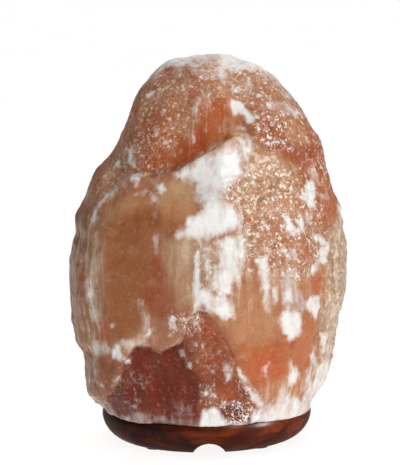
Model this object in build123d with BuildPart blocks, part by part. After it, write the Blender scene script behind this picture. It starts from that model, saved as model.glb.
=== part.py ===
from build123d import *
import math
import os

import numpy as np

os.makedirs("parts", exist_ok=True)

# Salt crystal lamp. Millimetres, +Z up, front towards -Y.
# Origin: on the table, on the axis of the turned base.

# ---- driving dimensions ------------------------------------------------------
PAD_R, PAD_T, PAD_CIRCLE = 6.0, 1.5, 44.0

BASE_BOTTOM = PAD_T
BASE_TOP = 20.0
BASE_R = 65.0            # widest, just below the top edge
BASE_FOOT_R = 52.7
BORE_R = 20.0            # the lampholder is pushed up through this hole

GROOVE_R = 10.2          # round-topped cord groove under the base
GROOVE_TOP = BASE_BOTTOM + 7.5
GROOVE_X = 1.2

SCREW_CIRCLE = 42.0
SCREW_R, SCREW_HEAD_R, SCREW_HEAD_T = 2.0, 4.0, 3.0
SCREW_TIP = 42.0
COUNTERBORE_R, COUNTERBORE_TOP = 4.6, 7.5
PLUG_R, PLUG_TOP = 4.0, 45.0

CAVITY_R, CAVITY_SHOULDER, CAVITY_TOP = 26.0, 124.0, 138.0

NIPPLE_R, NIPPLE_BORE_R = 5.0, 3.6
NIPPLE_BOTTOM, NIPPLE_TOP = 6.5, 18.5
NUT_BOTTOM, NUT_TOP, NUT_FLATS = 7.8, 11.0, 14.0
STRAP_BOTTOM, STRAP_T, STRAP_W = 11.0, 0.9, 12.0
ARM_X, ARM_TOP = 18.6, 28.0
WASHER_R, WASHER_T = 8.6, 0.6

HOLDER_R = 14.0
CAP_BOTTOM, CAP_TOP, CAP_FLOOR, CAP_WALL = 12.5, 28.0, 3.0, 2.0
SLEEVE_TOP, SLEEVE_BORE_R = 58.0, 9.6
BLOCK_BOTTOM, BLOCK_TOP, BLOCK_R = 24.0, 34.0, 11.8

THREAD_PITCH = 2.822     # 14 mm lamp thread, right-handed
RIDGE_R = 0.7
SHELL_INNER_R, SHELL_WALL, SHELL_TOP = 7.15, 0.4, 54.0
CORE_R = 6.15
CAP_THREAD_BOTTOM, CAP_THREAD_TOP = 42.0, 55.5
SKIRT_R, SKIRT_BOTTOM, SKIRT_TOP = 8.5, 56.0, 61.0
TIP_BOTTOM, TIP_TOP = 36.0, 37.6

BULB_R, BULB_NECK_R, BULB_TOP, GLASS_WALL = 13.0, 7.6, 93.0, 0.8

# ---- the crystal's form --------------------------------------------------------
# A hewn rock: a rounded body whose front outline is measured every 5 degrees about
# a point inside it, cut by flat cleavage faces, a ledge and a hollow.
CRYSTAL_CENTRE = (1.2, 0.0, 118.0)
OUTLINE = [85.5, 85.5, 84.6, 85.5, 85.7, 85.9, 87.7, 90.5, 95.0, 99.1, 100.9, 104.3,
           107.3, 111.4, 116.5, 121.3, 121.5, 120.9, 120.4, 119.2, 118.7, 115.4, 110.2, 102.9,
           94.7, 89.1, 84.9, 83.3, 84.3, 84.3, 82.9, 81.5, 82.2, 82.9, 81.5, 82.6,
           83.6, 85.6, 87.3, 88.5, 90.6, 94.1, 96.4, 98.6, 99.2, 107.4, 116.4, 117.2,
           121.0, 128.0, 136.0, 143.0, 148.0, 152.0, 153.0, 150.0, 147.0, 142.0, 136.0, 129.0,
           121.0, 114.0, 109.9, 106.9, 101.5, 97.5, 94.4, 92.7, 91.2, 88.6, 86.7, 85.6]
HALF_DEPTH_FRONT, HALF_DEPTH_BACK = 77.0, 76.0
FACET_SHARPNESS = 150.0

# Marks on the front are placed as seen from this point, on a sheet 400 wide and 465 high.
EYE = (-2.8, -1600.0, 355.0)
EYE_PITCH, EYE_ROLL, EYE_FOCAL = math.radians(8.06), math.radians(0.7), 2617.0

# (sheet x, sheet y, outward normal, depth of cut at the middle)
FRONT_FACETS = [
    (130, 250, (-0.36, -0.93, 0.03), 5.0),    # tall flat block, left
    (100, 300, (-0.70, -0.70, -0.10), 2.6),
    (186, 258, (-0.05, -0.995, 0.04), 2.6),
    (150, 200, (-0.26, -0.90, 0.34), 4.2),
    (165, 112, (-0.46, -0.74, 0.49), 5.5),    # upper block, left
    (212, 112, (-0.05, -0.86, 0.50), 4.6),    # chute
    (262, 118, (0.40, -0.70, 0.60), 5.0),     # upper block, right
    (298, 150, (0.74, -0.56, 0.38), 3.4),
    (262, 178, (0.22, -0.93, 0.30), 4.2),
    (306, 232, (0.78, -0.62, 0.06), 4.0),
    (250, 245, (0.26, -0.96, 0.03), 3.2),
    (258, 335, (0.20, -0.97, -0.12), 4.4),    # smooth face, lower right
    (312, 312, (0.80, -0.55, -0.22), 2.4),
    (295, 385, (0.50, -0.82, -0.26), 2.6),
    (150, 385, (-0.28, -0.94, -0.20), 3.4),   # hollow, left facet
    (212, 372, (0.04, -0.98, -0.16), 3.0),    # hollow, right facet
    (104, 372, (-0.66, -0.70, -0.24), 1.8),
    (240, 72, (0.16, -0.44, 0.88), 1.0),
    (180, 74, (-0.34, -0.40, 0.85), 1.8),
]
# (azimuth, elevation, turned by, tipped by, depth of cut), degrees and millimetres
BACK_FACETS = [
    (8, 22, 6, -4, 2.0), (-6, -14, -4, 3, 0.3), (28, -2, 5, 2, 3.0), (40, 34, -6, -6, 3.2), (52, -26, 4, 9, 2.2),
    (62, 8, -5, 2, 3.6), (84, 38, 4, -8, 3.6), (88, -10, -3, 3, 3.4), (96, -36, 3, 12, 1.6), (112, 14, 6, -3, 3.6),
    (128, -24, -4, 8, 2.2), (134, 40, -5, -6, 3.4), (146, 4, 5, 2, 3.0), (160, -28, 3, 8, 0.6), (168, 28, -6, -5, 2.6),
    (184, -4, 4, 2, 0.6), (110, 66, 8, -6, 3.0), (30, 64, -8, -4, 1.0),
]
LEDGE = [(40, 250), (74, 226), (93, 210), (104, 195), (114, 187), (128, 177), (150, 174), (173, 171), (190, 161), (205, 152),
         (222, 143), (234, 132), (242, 133), (250, 140), (262, 152)]
STEP = 9.0    # half width of the ledge's and hollow's steps, on the sheet
HOLLOW = [(96, 432), (106, 401), (113, 384), (122, 365), (129, 352), (136, 346), (150, 346), (156, 350), (162, 354),
          (171, 349), (180, 341), (187, 324), (195, 311), (206, 312), (222, 331), (231, 347), (237, 358), (239, 374),
          (248, 391), (258, 409), (256, 432)]

SECTION_HEIGHTS = [20.0, 24.0, 32.0, 43.0, 55.0, 67.0, 80.0, 94.0, 108.0, 121.0, 133.0, 144.0, 155.0, 166.0,
                   177.0, 188.0, 199.0, 209.0, 218.0, 225.5, 231.5, 235.6, 238.6]
SECTION_POINTS = 36


def smooth(lo, hi, x):
    t = np.clip((x - lo) / (hi - lo), 0.0, 1.0)
    return t * t * (3 - 2 * t)


def unit(v):
    v = np.array(v, float)
    return v / np.linalg.norm(v)


def to_sheet(p):
    x, y, z = p[:, 0] - EYE[0], p[:, 1] - EYE[1], p[:, 2] - EYE[2]
    depth = y * math.cos(EYE_PITCH) - z * math.sin(EYE_PITCH)
    up = y * math.sin(EYE_PITCH) + z * math.cos(EYE_PITCH)
    a, b = EYE_FOCAL * x / depth, -EYE_FOCAL * up / depth
    c, s = math.cos(EYE_ROLL), math.sin(EYE_ROLL)
    return 200.0 + a * c + b * s, 232.5 - a * s + b * c


def outline(phi):
    t = (phi % 360.0) / 5.0
    k = np.floor(t).astype(int)
    f = t - k
    o = np.array(OUTLINE)
    p0, p1, p2, p3 = (o[(k + i) % 72] for i in (-1, 0, 1, 2))
    return 0.5 * (2 * p1 + (p2 - p0) * f + (2 * p0 - 5 * p1 + 4 * p2 - p3) * f * f
                  + (3 * p1 - p0 - 3 * p2 + p3) * f ** 3)


def body_radius(n):
    c = np.hypot(n[:, 0], n[:, 2])
    a = outline(np.degrees(np.arctan2(n[:, 2], n[:, 0])))
    b = np.where(n[:, 1] < 0, HALF_DEPTH_FRONT, HALF_DEPTH_BACK)
    return ((c / a) ** 2.5 + (np.abs(n[:, 1]) / b) ** 2.5) ** (-1 / 2.5)


def front_point(px, py):
    a, b = px - 200.0, py - 232.5
    c, s = math.cos(EYE_ROLL), math.sin(EYE_ROLL)
    x, y = a * c - b * s, a * s + b * c
    d = unit((x, EYE_FOCAL * math.cos(EYE_PITCH) - y * math.sin(EYE_PITCH),
              -EYE_FOCAL * math.sin(EYE_PITCH) - y * math.cos(EYE_PITCH)))
    lo, hi = 1450.0, 1640.0
    for _ in range(40):
        t = (lo + hi) / 2
        q = np.array(EYE) + d * t - np.array(CRYSTAL_CENTRE)
        r = np.linalg.norm(q)
        if r > body_radius((q / r)[None, :])[0]:
            lo = t
        else:
            hi = t
    return q


def facet_planes():
    planes = []
    for px, py, n, cut in FRONT_FACETS:
        q, n = front_point(px, py), unit(n)
        planes.append((n, float(q @ n) - cut))
    for az, el, daz, tip, cut in BACK_FACETS:
        a, e = math.radians(az), math.radians(el)
        d = unit((math.cos(e) * math.cos(a), math.cos(e) * math.sin(a), math.sin(e)))
        a, e = math.radians(az + daz), math.radians(el + tip)
        n = unit((math.cos(e) * math.cos(a), math.cos(e) * math.sin(a), math.sin(e)))
        q = d * body_radius(d[None, :])[0]
        planes.append((n, float(q @ n) - cut))
    return planes


def line_distance(px, py, line):
    best, sign = np.full(px.shape, 1e9), np.ones(px.shape)
    for (x0, y0), (x1, y1) in zip(line, line[1:]):
        dx, dy = x1 - x0, y1 - y0
        t = np.clip(((px - x0) * dx + (py - y0) * dy) / (dx * dx + dy * dy), 0, 1)
        d = np.hypot(px - (x0 + t * dx), py - (y0 + t * dy))
        s = np.where(dx * (py - y0) - dy * (px - x0) < 0, 1.0, -1.0)
        best, sign = np.where(d < best, d, best), np.where(d < best, s, sign)
    return best * sign


def area_distance(px, py, ring):
    best, inside = np.full(px.shape, 1e9), np.zeros(px.shape, bool)
    for (x0, y0), (x1, y1) in zip(ring, ring[1:] + ring[:1]):
        dx, dy = x1 - x0, y1 - y0
        t = np.clip(((px - x0) * dx + (py - y0) * dy) / (dx * dx + dy * dy + 1e-9), 0, 1)
        best = np.minimum(best, np.hypot(px - (x0 + t * dx), py - (y0 + t * dy)))
        inside ^= ((y0 > py) != (y1 > py)) & (px < (x1 - x0) * (py - y0) / (y1 - y0 + 1e-9) + x0)
    return np.where(inside, best, -best)


def crystal_radius(n, planes):
    """Distance from the crystal's centre to its surface along unit directions."""
    r = body_radius(n)
    total = np.ones(len(r))
    for m, d in planes:
        s = n @ m
        total += np.where(s > 0.05, (np.maximum(s, 0.05) * r / d) ** FACET_SHARPNESS, 0.0)
    r = r * total ** (-1 / FACET_SHARPNESS)
    px, py = to_sheet(np.array(CRYSTAL_CENTRE) + n * r[:, None])
    front = smooth(0.08, 0.40, -n[:, 1])
    # ledge along the top of the left block
    s = line_distance(px, py, LEDGE)
    ends = smooth(84, 112, px) * (1 - smooth(238, 262, px))
    r = r - 9.0 * front * ends * smooth(-STEP, STEP, s) * (1 - smooth(10, 85, s))
    # steep chute above the ledge
    e = np.hypot((px - 214) / 22.0, (py - 128) / 40.0)
    r = r - 3.2 * front * (1 - smooth(0.35, 1.0, e)) * smooth(-STEP, STEP, s)
    # broken-out hollow at the foot
    h = area_distance(px, py, HOLLOW)
    deep = (0.55 + 0.45 * (1 - smooth(165, 215, px))) * (1 - 0.8 * smooth(375, 425, py))
    r = r - front * 5.0 * smooth(1 - STEP, STEP, h) * deep
    # upright ridge in the middle
    ridge = np.exp(-(((px - (222 - 0.06 * (py - 200))) / 17.0) ** 2)) * smooth(118, 150, py) * (1 - smooth(285, 325, py))
    return r + 2.6 * front * ridge + 0.8


def crystal_section(z, planes):
    """Corner points of the crystal's section at height z, counter-clockwise."""
    cx = 1.2 + 7.0 * float(smooth(200.0, 238.0, z))
    az = np.radians(np.arange(SECTION_POINTS) * 360.0 / SECTION_POINTS)
    lo, hi = np.full(SECTION_POINTS, 0.5), np.full(SECTION_POINTS, 130.0)
    for _ in range(36):
        t = (lo + hi) / 2
        p = np.stack([cx + t * np.cos(az), t * np.sin(az), np.full(SECTION_POINTS, z)], axis=1) - np.array(CRYSTAL_CENTRE)
        r = np.linalg.norm(p, axis=1)
        outside = r > crystal_radius(p / r[:, None], planes)
        lo, hi = np.where(outside, lo, t), np.where(outside, t, hi)
    return [(cx + t * math.cos(a), t * math.sin(a)) for t, a in zip(lo, az)]


# ---- lamp body: crystal, base and what joins them ------------------------------
planes = facet_planes()
with BuildPart() as salt_crystal:
    for z in SECTION_HEIGHTS:
        with BuildSketch(Plane.XY.offset(z)):
            with BuildLine():
                Polyline(*crystal_section(z, planes), close=True)
            make_face()
    loft(ruled=True)
    # drilled lamp cavity, open below
    with BuildSketch(Plane.XZ):
        with BuildLine():
            Polyline((0, BASE_TOP - 1), (CAVITY_R, BASE_TOP - 1), (CAVITY_R, CAVITY_SHOULDER), (0, CAVITY_TOP), close=True)
        make_face()
    revolve(axis=Axis.Z, mode=Mode.SUBTRACT)
    with Locations(Plane(origin=(0, 0, BASE_TOP), x_dir=(1, 0, 0), z_dir=(0, 0, -1))):
        with PolarLocations(SCREW_CIRCLE, 3, start_angle=30):
            Hole(PLUG_R, depth=PLUG_TOP - BASE_TOP)
salt_crystal.part.label = "salt_crystal"
export_step(salt_crystal.part, "parts/salt_crystal.step")

with BuildPart() as wooden_base:
    with BuildSketch(Plane.XZ):
        with BuildLine():
            Line((BORE_R, BASE_BOTTOM), (BASE_FOOT_R, BASE_BOTTOM))
            ThreePointArc((BASE_FOOT_R, BASE_BOTTOM), (BASE_R - 3.4, 7.6), (BASE_R, 16.0))
            ThreePointArc((BASE_R, 16.0), (BASE_R - 0.23, 18.05), (BASE_R - 0.9, BASE_TOP))
            Line((BASE_R - 0.9, BASE_TOP), (BORE_R, BASE_TOP))
            Line((BORE_R, BASE_TOP), (BORE_R, BASE_BOTTOM))
        make_face()
    revolve(axis=Axis.Z)
    # cord groove from the bore to the front
    with BuildSketch(Plane.XZ):
        with Locations((GROOVE_X, GROOVE_TOP - GROOVE_R)):
            Circle(GROOVE_R)
    extrude(amount=BASE_R + 5, mode=Mode.SUBTRACT)
    # screw holes, counterbored from below
    with Locations(Plane(origin=(0, 0, BASE_BOTTOM), x_dir=(1, 0, 0), z_dir=(0, 0, -1))):
        with PolarLocations(SCREW_CIRCLE, 3, start_angle=30):
            CounterBoreHole(SCREW_R + 0.3, COUNTERBORE_R, COUNTERBORE_TOP - BASE_BOTTOM)
wooden_base.part.label = "wooden_base"
export_step(wooden_base.part, "parts/wooden_base.step")

with BuildPart() as base_screws:
    with BuildSketch(Plane.XY.offset(COUNTERBORE_TOP)):
        with PolarLocations(SCREW_CIRCLE, 3, start_angle=90):
            Circle(SCREW_HEAD_R)
    extrude(amount=-SCREW_HEAD_T)
    with BuildSketch(Plane.XY.offset(COUNTERBORE_TOP)):
        with PolarLocations(SCREW_CIRCLE, 3, start_angle=90):
            Circle(SCREW_R)
    extrude(amount=SCREW_TIP - 3 - COUNTERBORE_TOP)
    # pointed tips
    with BuildSketch(Plane.XY.offset(SCREW_TIP - 3)):
        with PolarLocations(SCREW_CIRCLE, 3, start_angle=90):
            Circle(SCREW_R)
    extrude(amount=3, taper=30)
    # cross recesses
    with BuildSketch(Plane.XY.offset(COUNTERBORE_TOP - SCREW_HEAD_T)):
        with PolarLocations(SCREW_CIRCLE, 3, start_angle=90):
            Rectangle(4.6, 0.9)
            Rectangle(0.9, 4.6)
    extrude(amount=1.8, mode=Mode.SUBTRACT)
base_screws.part.label = "base_screws"
export_step(base_screws.part, "parts/base_screws.step")

with BuildPart() as wall_plugs:
    with BuildSketch(Plane.XY.offset(BASE_TOP)):
        with PolarLocations(SCREW_CIRCLE, 3, start_angle=90):
            Circle(PLUG_R)
            Circle(SCREW_R, mode=Mode.SUBTRACT)
    extrude(amount=PLUG_TOP - BASE_TOP)
    # grip grooves
    for z in (25.0, 30.0, 35.0, 40.0):
        with BuildSketch(Plane.XY.offset(z)):
            with PolarLocations(SCREW_CIRCLE, 3, start_angle=90):
                Circle(PLUG_R + 0.5)
                Circle(PLUG_R - 0.7, mode=Mode.SUBTRACT)
        extrude(amount=1.6, mode=Mode.SUBTRACT)
wall_plugs.part.label = "wall_plugs"
export_step(wall_plugs.part, "parts/wall_plugs.step")

with BuildPart() as felt_pads:
    with BuildSketch(Plane.XY):
        with PolarLocations(PAD_CIRCLE, 4, start_angle=45):
            Circle(PAD_R)
    extrude(amount=PAD_T)
felt_pads.part.label = "felt_pads"
export_step(felt_pads.part, "parts/felt_pads.step")

# ---- lampholder ------------------------------------------------------------------
with BuildPart() as cord_nipple:
    with BuildSketch(Plane.XY.offset(NIPPLE_BOTTOM)):
        Circle(NIPPLE_R)
        Circle(NIPPLE_BORE_R, mode=Mode.SUBTRACT)
    extrude(amount=NIPPLE_TOP - NIPPLE_BOTTOM)
    chamfer(cord_nipple.edges().filter_by(GeomType.CIRCLE).filter_by(lambda e: e.radius > 4.5), 0.5)
    # turned thread grooves
    for z in (7.3, 16.2, 17.2):
        with BuildSketch(Plane.XY.offset(z)):
            Circle(NIPPLE_R + 1)
            Circle(NIPPLE_R - 0.4, mode=Mode.SUBTRACT)
        extrude(amount=0.4, mode=Mode.SUBTRACT)
cord_nipple.part.label = "cord_nipple"
export_step(cord_nipple.part, "parts/cord_nipple.step")

with BuildPart() as nipple_locknut:
    with BuildSketch(Plane.XY.offset(NUT_BOTTOM)):
        RegularPolygon(NUT_FLATS / 2, 6, major_radius=False)
        Circle(NIPPLE_R, mode=Mode.SUBTRACT)
    extrude(amount=NUT_TOP - NUT_BOTTOM)
nipple_locknut.part.label = "nipple_locknut"
export_step(nipple_locknut.part, "parts/nipple_locknut.step")

with BuildPart() as spring_clip:
    # bent strip: strap under the holder, two arms bowed out towards the bore
    with BuildSketch(Plane.XZ.offset(-STRAP_W / 2)):
        with BuildLine() as strip_line:
            FilletPolyline((0, STRAP_BOTTOM), (16.2, STRAP_BOTTOM), (ARM_X, 20.0), (15.6, ARM_TOP), radius=1.6)
            FilletPolyline((15.6 - STRAP_T, ARM_TOP - 0.3), (ARM_X - STRAP_T, 20.0), (15.5, STRAP_BOTTOM + STRAP_T),
                           (0, STRAP_BOTTOM + STRAP_T), radius=1.0)
            Line((15.6, ARM_TOP), (15.6 - STRAP_T, ARM_TOP - 0.3))
            Line((0, STRAP_BOTTOM + STRAP_T), (0, STRAP_BOTTOM))
        make_face()
    extrude(amount=STRAP_W)
    mirror(about=Plane.YZ)
    Hole(NIPPLE_R)
spring_clip.part.label = "spring_clip"
export_step(spring_clip.part, "parts/spring_clip.step")

with BuildPart() as star_washer:
    with BuildSketch(Plane.XY.offset(STRAP_BOTTOM + STRAP_T)):
        Circle(WASHER_R - 1.2)
        with PolarLocations(WASHER_R - 1.1, 12):
            Rectangle(2.2, 1.6)
        Circle(NIPPLE_R, mode=Mode.SUBTRACT)
    extrude(amount=WASHER_T)
star_washer.part.label = "star_washer"
export_step(star_washer.part, "parts/star_washer.step")

with BuildPart() as holder_cap:
    with BuildSketch(Plane.XY.offset(CAP_BOTTOM)):
        Circle(HOLDER_R)
    extrude(amount=CAP_TOP - CAP_BOTTOM)
    fillet(holder_cap.faces().sort_by(Axis.Z).first.edges(), 2.5)
    with BuildSketch(Plane.XY.offset(CAP_BOTTOM + CAP_FLOOR)):
        Circle(HOLDER_R - CAP_WALL)
    extrude(amount=CAP_TOP, mode=Mode.SUBTRACT)
    Hole(NIPPLE_R)
    # grip ribs
    with BuildSketch(Plane.XY.offset(CAP_BOTTOM + 3)):
        with PolarLocations(HOLDER_R + 0.1, 24):
            Circle(0.45)
    extrude(amount=CAP_TOP - CAP_BOTTOM - 4, mode=Mode.SUBTRACT)
holder_cap.part.label = "holder_cap"
export_step(holder_cap.part, "parts/holder_cap.step")

with BuildPart() as terminal_screws:
    for x in (-7.0, 7.0):
        with BuildSketch(Plane.XY.offset(BLOCK_BOTTOM)):
            with Locations((x, 3.5)):
                Circle(2.6)
        extrude(amount=-2.0)
        with BuildSketch(Plane.XY.offset(BLOCK_BOTTOM)):
            with Locations((x, 3.5)):
                Circle(1.5)
        extrude(amount=6.0)
        with BuildSketch(Plane.XY.offset(BLOCK_BOTTOM - 2.0)):
            with Locations((x, 3.5)):
                Rectangle(5.4, 0.7)
        extrude(amount=0.8, mode=Mode.SUBTRACT)
terminal_screws.part.label = "terminal_screws"
export_step(terminal_screws.part, "parts/terminal_screws.step")

with BuildPart() as shell_terminal:
    # strip from the threaded shell's foot down through the block to one screw
    with BuildSketch(Plane.XY.offset(BLOCK_BOTTOM - 0.0)):
        with Locations((10.4, 0)):
            Rectangle(0.6, 3.0)
    extrude(amount=BLOCK_TOP - BLOCK_BOTTOM)
    with BuildSketch(Plane.XY.offset(BLOCK_TOP)):
        with Locations((9.2, 0)):
            Rectangle(3.0, 3.0)
    extrude(amount=0.6)
shell_terminal.part.label = "shell_terminal"
export_step(shell_terminal.part, "parts/shell_terminal.step")

with BuildPart() as centre_contact:
    # bronze tongue that presses on the lamp's tip
    with BuildSketch(Plane.XZ.offset(-1.75)):
        with BuildLine():
            Polyline((-5.4, BLOCK_TOP), (-2.6, BLOCK_TOP), (-0.6, TIP_BOTTOM - 0.5), (3.2, TIP_BOTTOM - 0.5),
                     (3.2, TIP_BOTTOM), (-0.9, TIP_BOTTOM), (-2.9, BLOCK_TOP + 0.5), (-5.4, BLOCK_TOP + 0.5), close=True)
        make_face()
    extrude(amount=3.5)
centre_contact.part.label = "centre_contact"
export_step(centre_contact.part, "parts/centre_contact.step")

with BuildPart() as contact_block:
    with BuildSketch(Plane.XY.offset(BLOCK_BOTTOM)):
        Circle(BLOCK_R)
        with Locations((0, -BLOCK_R)):
            Rectangle(6, 5, mode=Mode.SUBTRACT)
        with Locations((10.4, 0)):
            Rectangle(0.6, 3.0, mode=Mode.SUBTRACT)
        with Locations((-7.0, 3.5), (7.0, 3.5)):
            Circle(1.5, mode=Mode.SUBTRACT)
    extrude(amount=BLOCK_TOP - BLOCK_BOTTOM)
contact_block.part.label = "contact_block"
export_step(contact_block.part, "parts/contact_block.step")

with BuildPart() as holder_sleeve:
    with BuildSketch(Plane.XZ):
        with BuildLine():
            Polyline((BLOCK_R + 0.1, CAP_TOP), (HOLDER_R, CAP_TOP), (HOLDER_R, 36.0), (HOLDER_R - 1.2, 38.0),
                     (HOLDER_R - 1.2, SLEEVE_TOP - 1.0), (HOLDER_R - 2.2, SLEEVE_TOP), (SLEEVE_BORE_R, SLEEVE_TOP),
                     (SLEEVE_BORE_R, BLOCK_TOP + 1.4), (BLOCK_R + 0.1, BLOCK_TOP + 1.4), close=True)
        make_face()
    revolve(axis=Axis.Z)
holder_sleeve.part.label = "holder_sleeve"
export_step(holder_sleeve.part, "parts/holder_sleeve.step")

SHELL_THREAD_BOTTOM = 37.2
with BuildPart() as screw_shell:
    with BuildSketch(Plane.XZ):
        with BuildLine():
            Polyline((SHELL_INNER_R, BLOCK_TOP + 0.6), (9.4, BLOCK_TOP + 0.6), (9.4, BLOCK_TOP + 1.1),
                     (SHELL_INNER_R + SHELL_WALL, BLOCK_TOP + 1.1), (SHELL_INNER_R + SHELL_WALL, SHELL_TOP - 0.6),
                     (SHELL_INNER_R + 1.0, SHELL_TOP), (SHELL_INNER_R + 0.6, SHELL_TOP),
                     (SHELL_INNER_R, SHELL_TOP - 0.6), close=True)
        make_face()
    revolve(axis=Axis.Z)
    with BuildLine() as shell_helix:
        Helix(pitch=THREAD_PITCH, height=5.4 * THREAD_PITCH, radius=SHELL_INNER_R, center=(0, 0, SHELL_THREAD_BOTTOM))
    with BuildSketch(Plane(origin=shell_helix.line @ 0, z_dir=shell_helix.line % 0)):
        Circle(RIDGE_R)
    sweep(path=shell_helix.line, is_frenet=True)
screw_shell.part.label = "screw_shell"
export_step(screw_shell.part, "parts/screw_shell.step")

# ---- bulb ----------------------------------------------------------------------------
with BuildPart() as bulb_tip:
    with BuildSketch(Plane.XZ):
        with BuildLine():
            Line((0, TIP_BOTTOM), (1.4, TIP_BOTTOM))
            ThreePointArc((1.4, TIP_BOTTOM), (2.4, TIP_BOTTOM + 0.5), (2.8, TIP_TOP))
            Line((2.8, TIP_TOP), (0, TIP_TOP))
            Line((0, TIP_TOP), (0, TIP_BOTTOM))
        make_face()
    revolve(axis=Axis.Z)
bulb_tip.part.label = "bulb_tip"
export_step(bulb_tip.part, "parts/bulb_tip.step")

with BuildPart() as cap_insulator:
    with BuildSketch(Plane.XZ):
        with BuildLine():
            Polyline((0.5, TIP_TOP), (3.2, TIP_TOP), (CORE_R - 0.4, CAP_THREAD_BOTTOM), (CORE_R - 0.4, CAP_THREAD_BOTTOM + 1.0),
                     (0.5, CAP_THREAD_BOTTOM + 1.0), close=True)
        make_face()
    revolve(axis=Axis.Z)
cap_insulator.part.label = "cap_insulator"
export_step(cap_insulator.part, "parts/cap_insulator.step")

with BuildPart() as bulb_cap:
    with BuildSketch(Plane.XZ):
        with BuildLine():
            Polyline((CORE_R - 0.4, CAP_THREAD_BOTTOM), (CORE_R, CAP_THREAD_BOTTOM), (CORE_R, CAP_THREAD_TOP),
                     (SKIRT_R, SKIRT_BOTTOM + 0.6), (SKIRT_R, SKIRT_TOP), (SKIRT_R - 0.4, SKIRT_TOP),
                     (SKIRT_R - 0.4, SKIRT_BOTTOM + 1.0), (CORE_R - 0.4, CAP_THREAD_TOP + 0.5), close=True)
        make_face()
    revolve(axis=Axis.Z)
    with BuildLine() as cap_helix:
        Helix(pitch=THREAD_PITCH, height=3.6 * THREAD_PITCH, radius=CORE_R,
              center=(0, 0, SHELL_THREAD_BOTTOM + 2.5 * THREAD_PITCH))
    with BuildSketch(Plane(origin=cap_helix.line @ 0, z_dir=cap_helix.line % 0)):
        Circle(RIDGE_R)
    sweep(path=cap_helix.line, is_frenet=True)
    # the ridge stands out of the thin cap only
    with BuildSketch(Plane.XY.offset(CAP_THREAD_BOTTOM - 3)):
        Circle(CORE_R - 0.4)
    extrude(amount=CAP_THREAD_TOP - CAP_THREAD_BOTTOM + 3.5, mode=Mode.SUBTRACT)
bulb_cap.part.label = "bulb_cap"
export_step(bulb_cap.part, "parts/bulb_cap.step")

with BuildPart() as bulb_glass:
    for wall, mode in ((0.0, Mode.ADD), (GLASS_WALL, Mode.SUBTRACT)):
        with BuildSketch(Plane.XZ):
            with BuildLine():
                Line((0, 57.5), (BULB_NECK_R - wall, 57.5))
                Line((BULB_NECK_R - wall, 57.5), (BULB_NECK_R - wall, 61.5))
                Spline((BULB_NECK_R - wall, 61.5), (10.4 - wall, 69.0), (BULB_R - wall, BULB_TOP - BULB_R), tangents=[(0, 1), (0, 1)])
                CenterArc((0, BULB_TOP - BULB_R), BULB_R - wall, 0, 90)
                Line((0, BULB_TOP - wall), (0, 57.5))
            make_face()
        revolve(axis=Axis.Z, mode=mode)
bulb_glass.part.label = "bulb_glass"
export_step(bulb_glass.part, "parts/bulb_glass.step")

with BuildPart() as lead_wires:
    with BuildLine() as wire_path:
        FilletPolyline((1.6, 0, 52.0), (1.6, 0, 70.0), (6.2, 0, 80.0), radius=6)
    with BuildSketch(Plane(origin=wire_path.line @ 0, z_dir=wire_path.line % 0)):
        Circle(0.3)
    sweep(path=wire_path.line)
    mirror(about=Plane.YZ)
lead_wires.part.label = "lead_wires"
export_step(lead_wires.part, "parts/lead_wires.step")

with BuildPart() as filament:
    with BuildLine() as filament_path:
        FilletPolyline((-6.2, 0, 80.3), (-3.4, 0, 82.2), (0, 0, 80.7), (3.4, 0, 82.2), (6.2, 0, 80.3), radius=0.8)
    with BuildSketch(Plane(origin=filament_path.line @ 0, z_dir=filament_path.line % 0)):
        Circle(0.25)
    sweep(path=filament_path.line)
filament.part.label = "filament"
export_step(filament.part, "parts/filament.step")

with BuildPart() as glass_stem:
    with BuildSketch(Plane.XZ):
        with BuildLine():
            Polyline((0, 59.0), (BULB_NECK_R - GLASS_WALL, 59.0), (BULB_NECK_R - GLASS_WALL, 60.0), (3.4, 62.5), (2.9, 70.0),
                     (0, 71.5), close=True)
        make_face()
    revolve(axis=Axis.Z)
    with BuildSketch(Plane.XY.offset(58.0)):
        with Locations((-1.6, 0), (1.6, 0)):
            Circle(0.3)
    extrude(amount=12.0, mode=Mode.SUBTRACT)
    add(lead_wires.part, mode=Mode.SUBTRACT)
glass_stem.part.label = "glass_stem"
export_step(glass_stem.part, "parts/glass_stem.step")
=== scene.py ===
import math

import bmesh
import bpy
import numpy as np
from mathutils import Matrix, Vector, kdtree


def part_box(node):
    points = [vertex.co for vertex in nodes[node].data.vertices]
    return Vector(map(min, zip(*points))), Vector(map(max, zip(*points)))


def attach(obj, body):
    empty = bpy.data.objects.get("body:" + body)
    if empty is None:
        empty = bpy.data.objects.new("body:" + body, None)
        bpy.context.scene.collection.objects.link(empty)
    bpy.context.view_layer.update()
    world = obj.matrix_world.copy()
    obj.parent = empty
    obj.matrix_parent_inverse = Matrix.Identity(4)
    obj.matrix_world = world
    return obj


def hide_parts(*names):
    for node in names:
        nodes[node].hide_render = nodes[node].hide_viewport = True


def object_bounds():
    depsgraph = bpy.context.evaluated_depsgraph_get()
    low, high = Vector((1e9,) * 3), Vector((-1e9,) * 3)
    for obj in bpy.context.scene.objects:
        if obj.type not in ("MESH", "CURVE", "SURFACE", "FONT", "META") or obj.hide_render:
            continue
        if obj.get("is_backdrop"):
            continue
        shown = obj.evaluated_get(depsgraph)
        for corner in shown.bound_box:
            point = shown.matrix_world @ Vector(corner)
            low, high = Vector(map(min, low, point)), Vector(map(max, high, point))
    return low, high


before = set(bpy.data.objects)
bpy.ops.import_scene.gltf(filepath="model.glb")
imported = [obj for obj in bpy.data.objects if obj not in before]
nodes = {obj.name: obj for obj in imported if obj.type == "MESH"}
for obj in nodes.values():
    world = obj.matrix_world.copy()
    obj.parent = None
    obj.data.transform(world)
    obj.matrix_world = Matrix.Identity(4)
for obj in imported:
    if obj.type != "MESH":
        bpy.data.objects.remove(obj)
cad_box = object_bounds()
rng = np.random.default_rng(20260)

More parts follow.
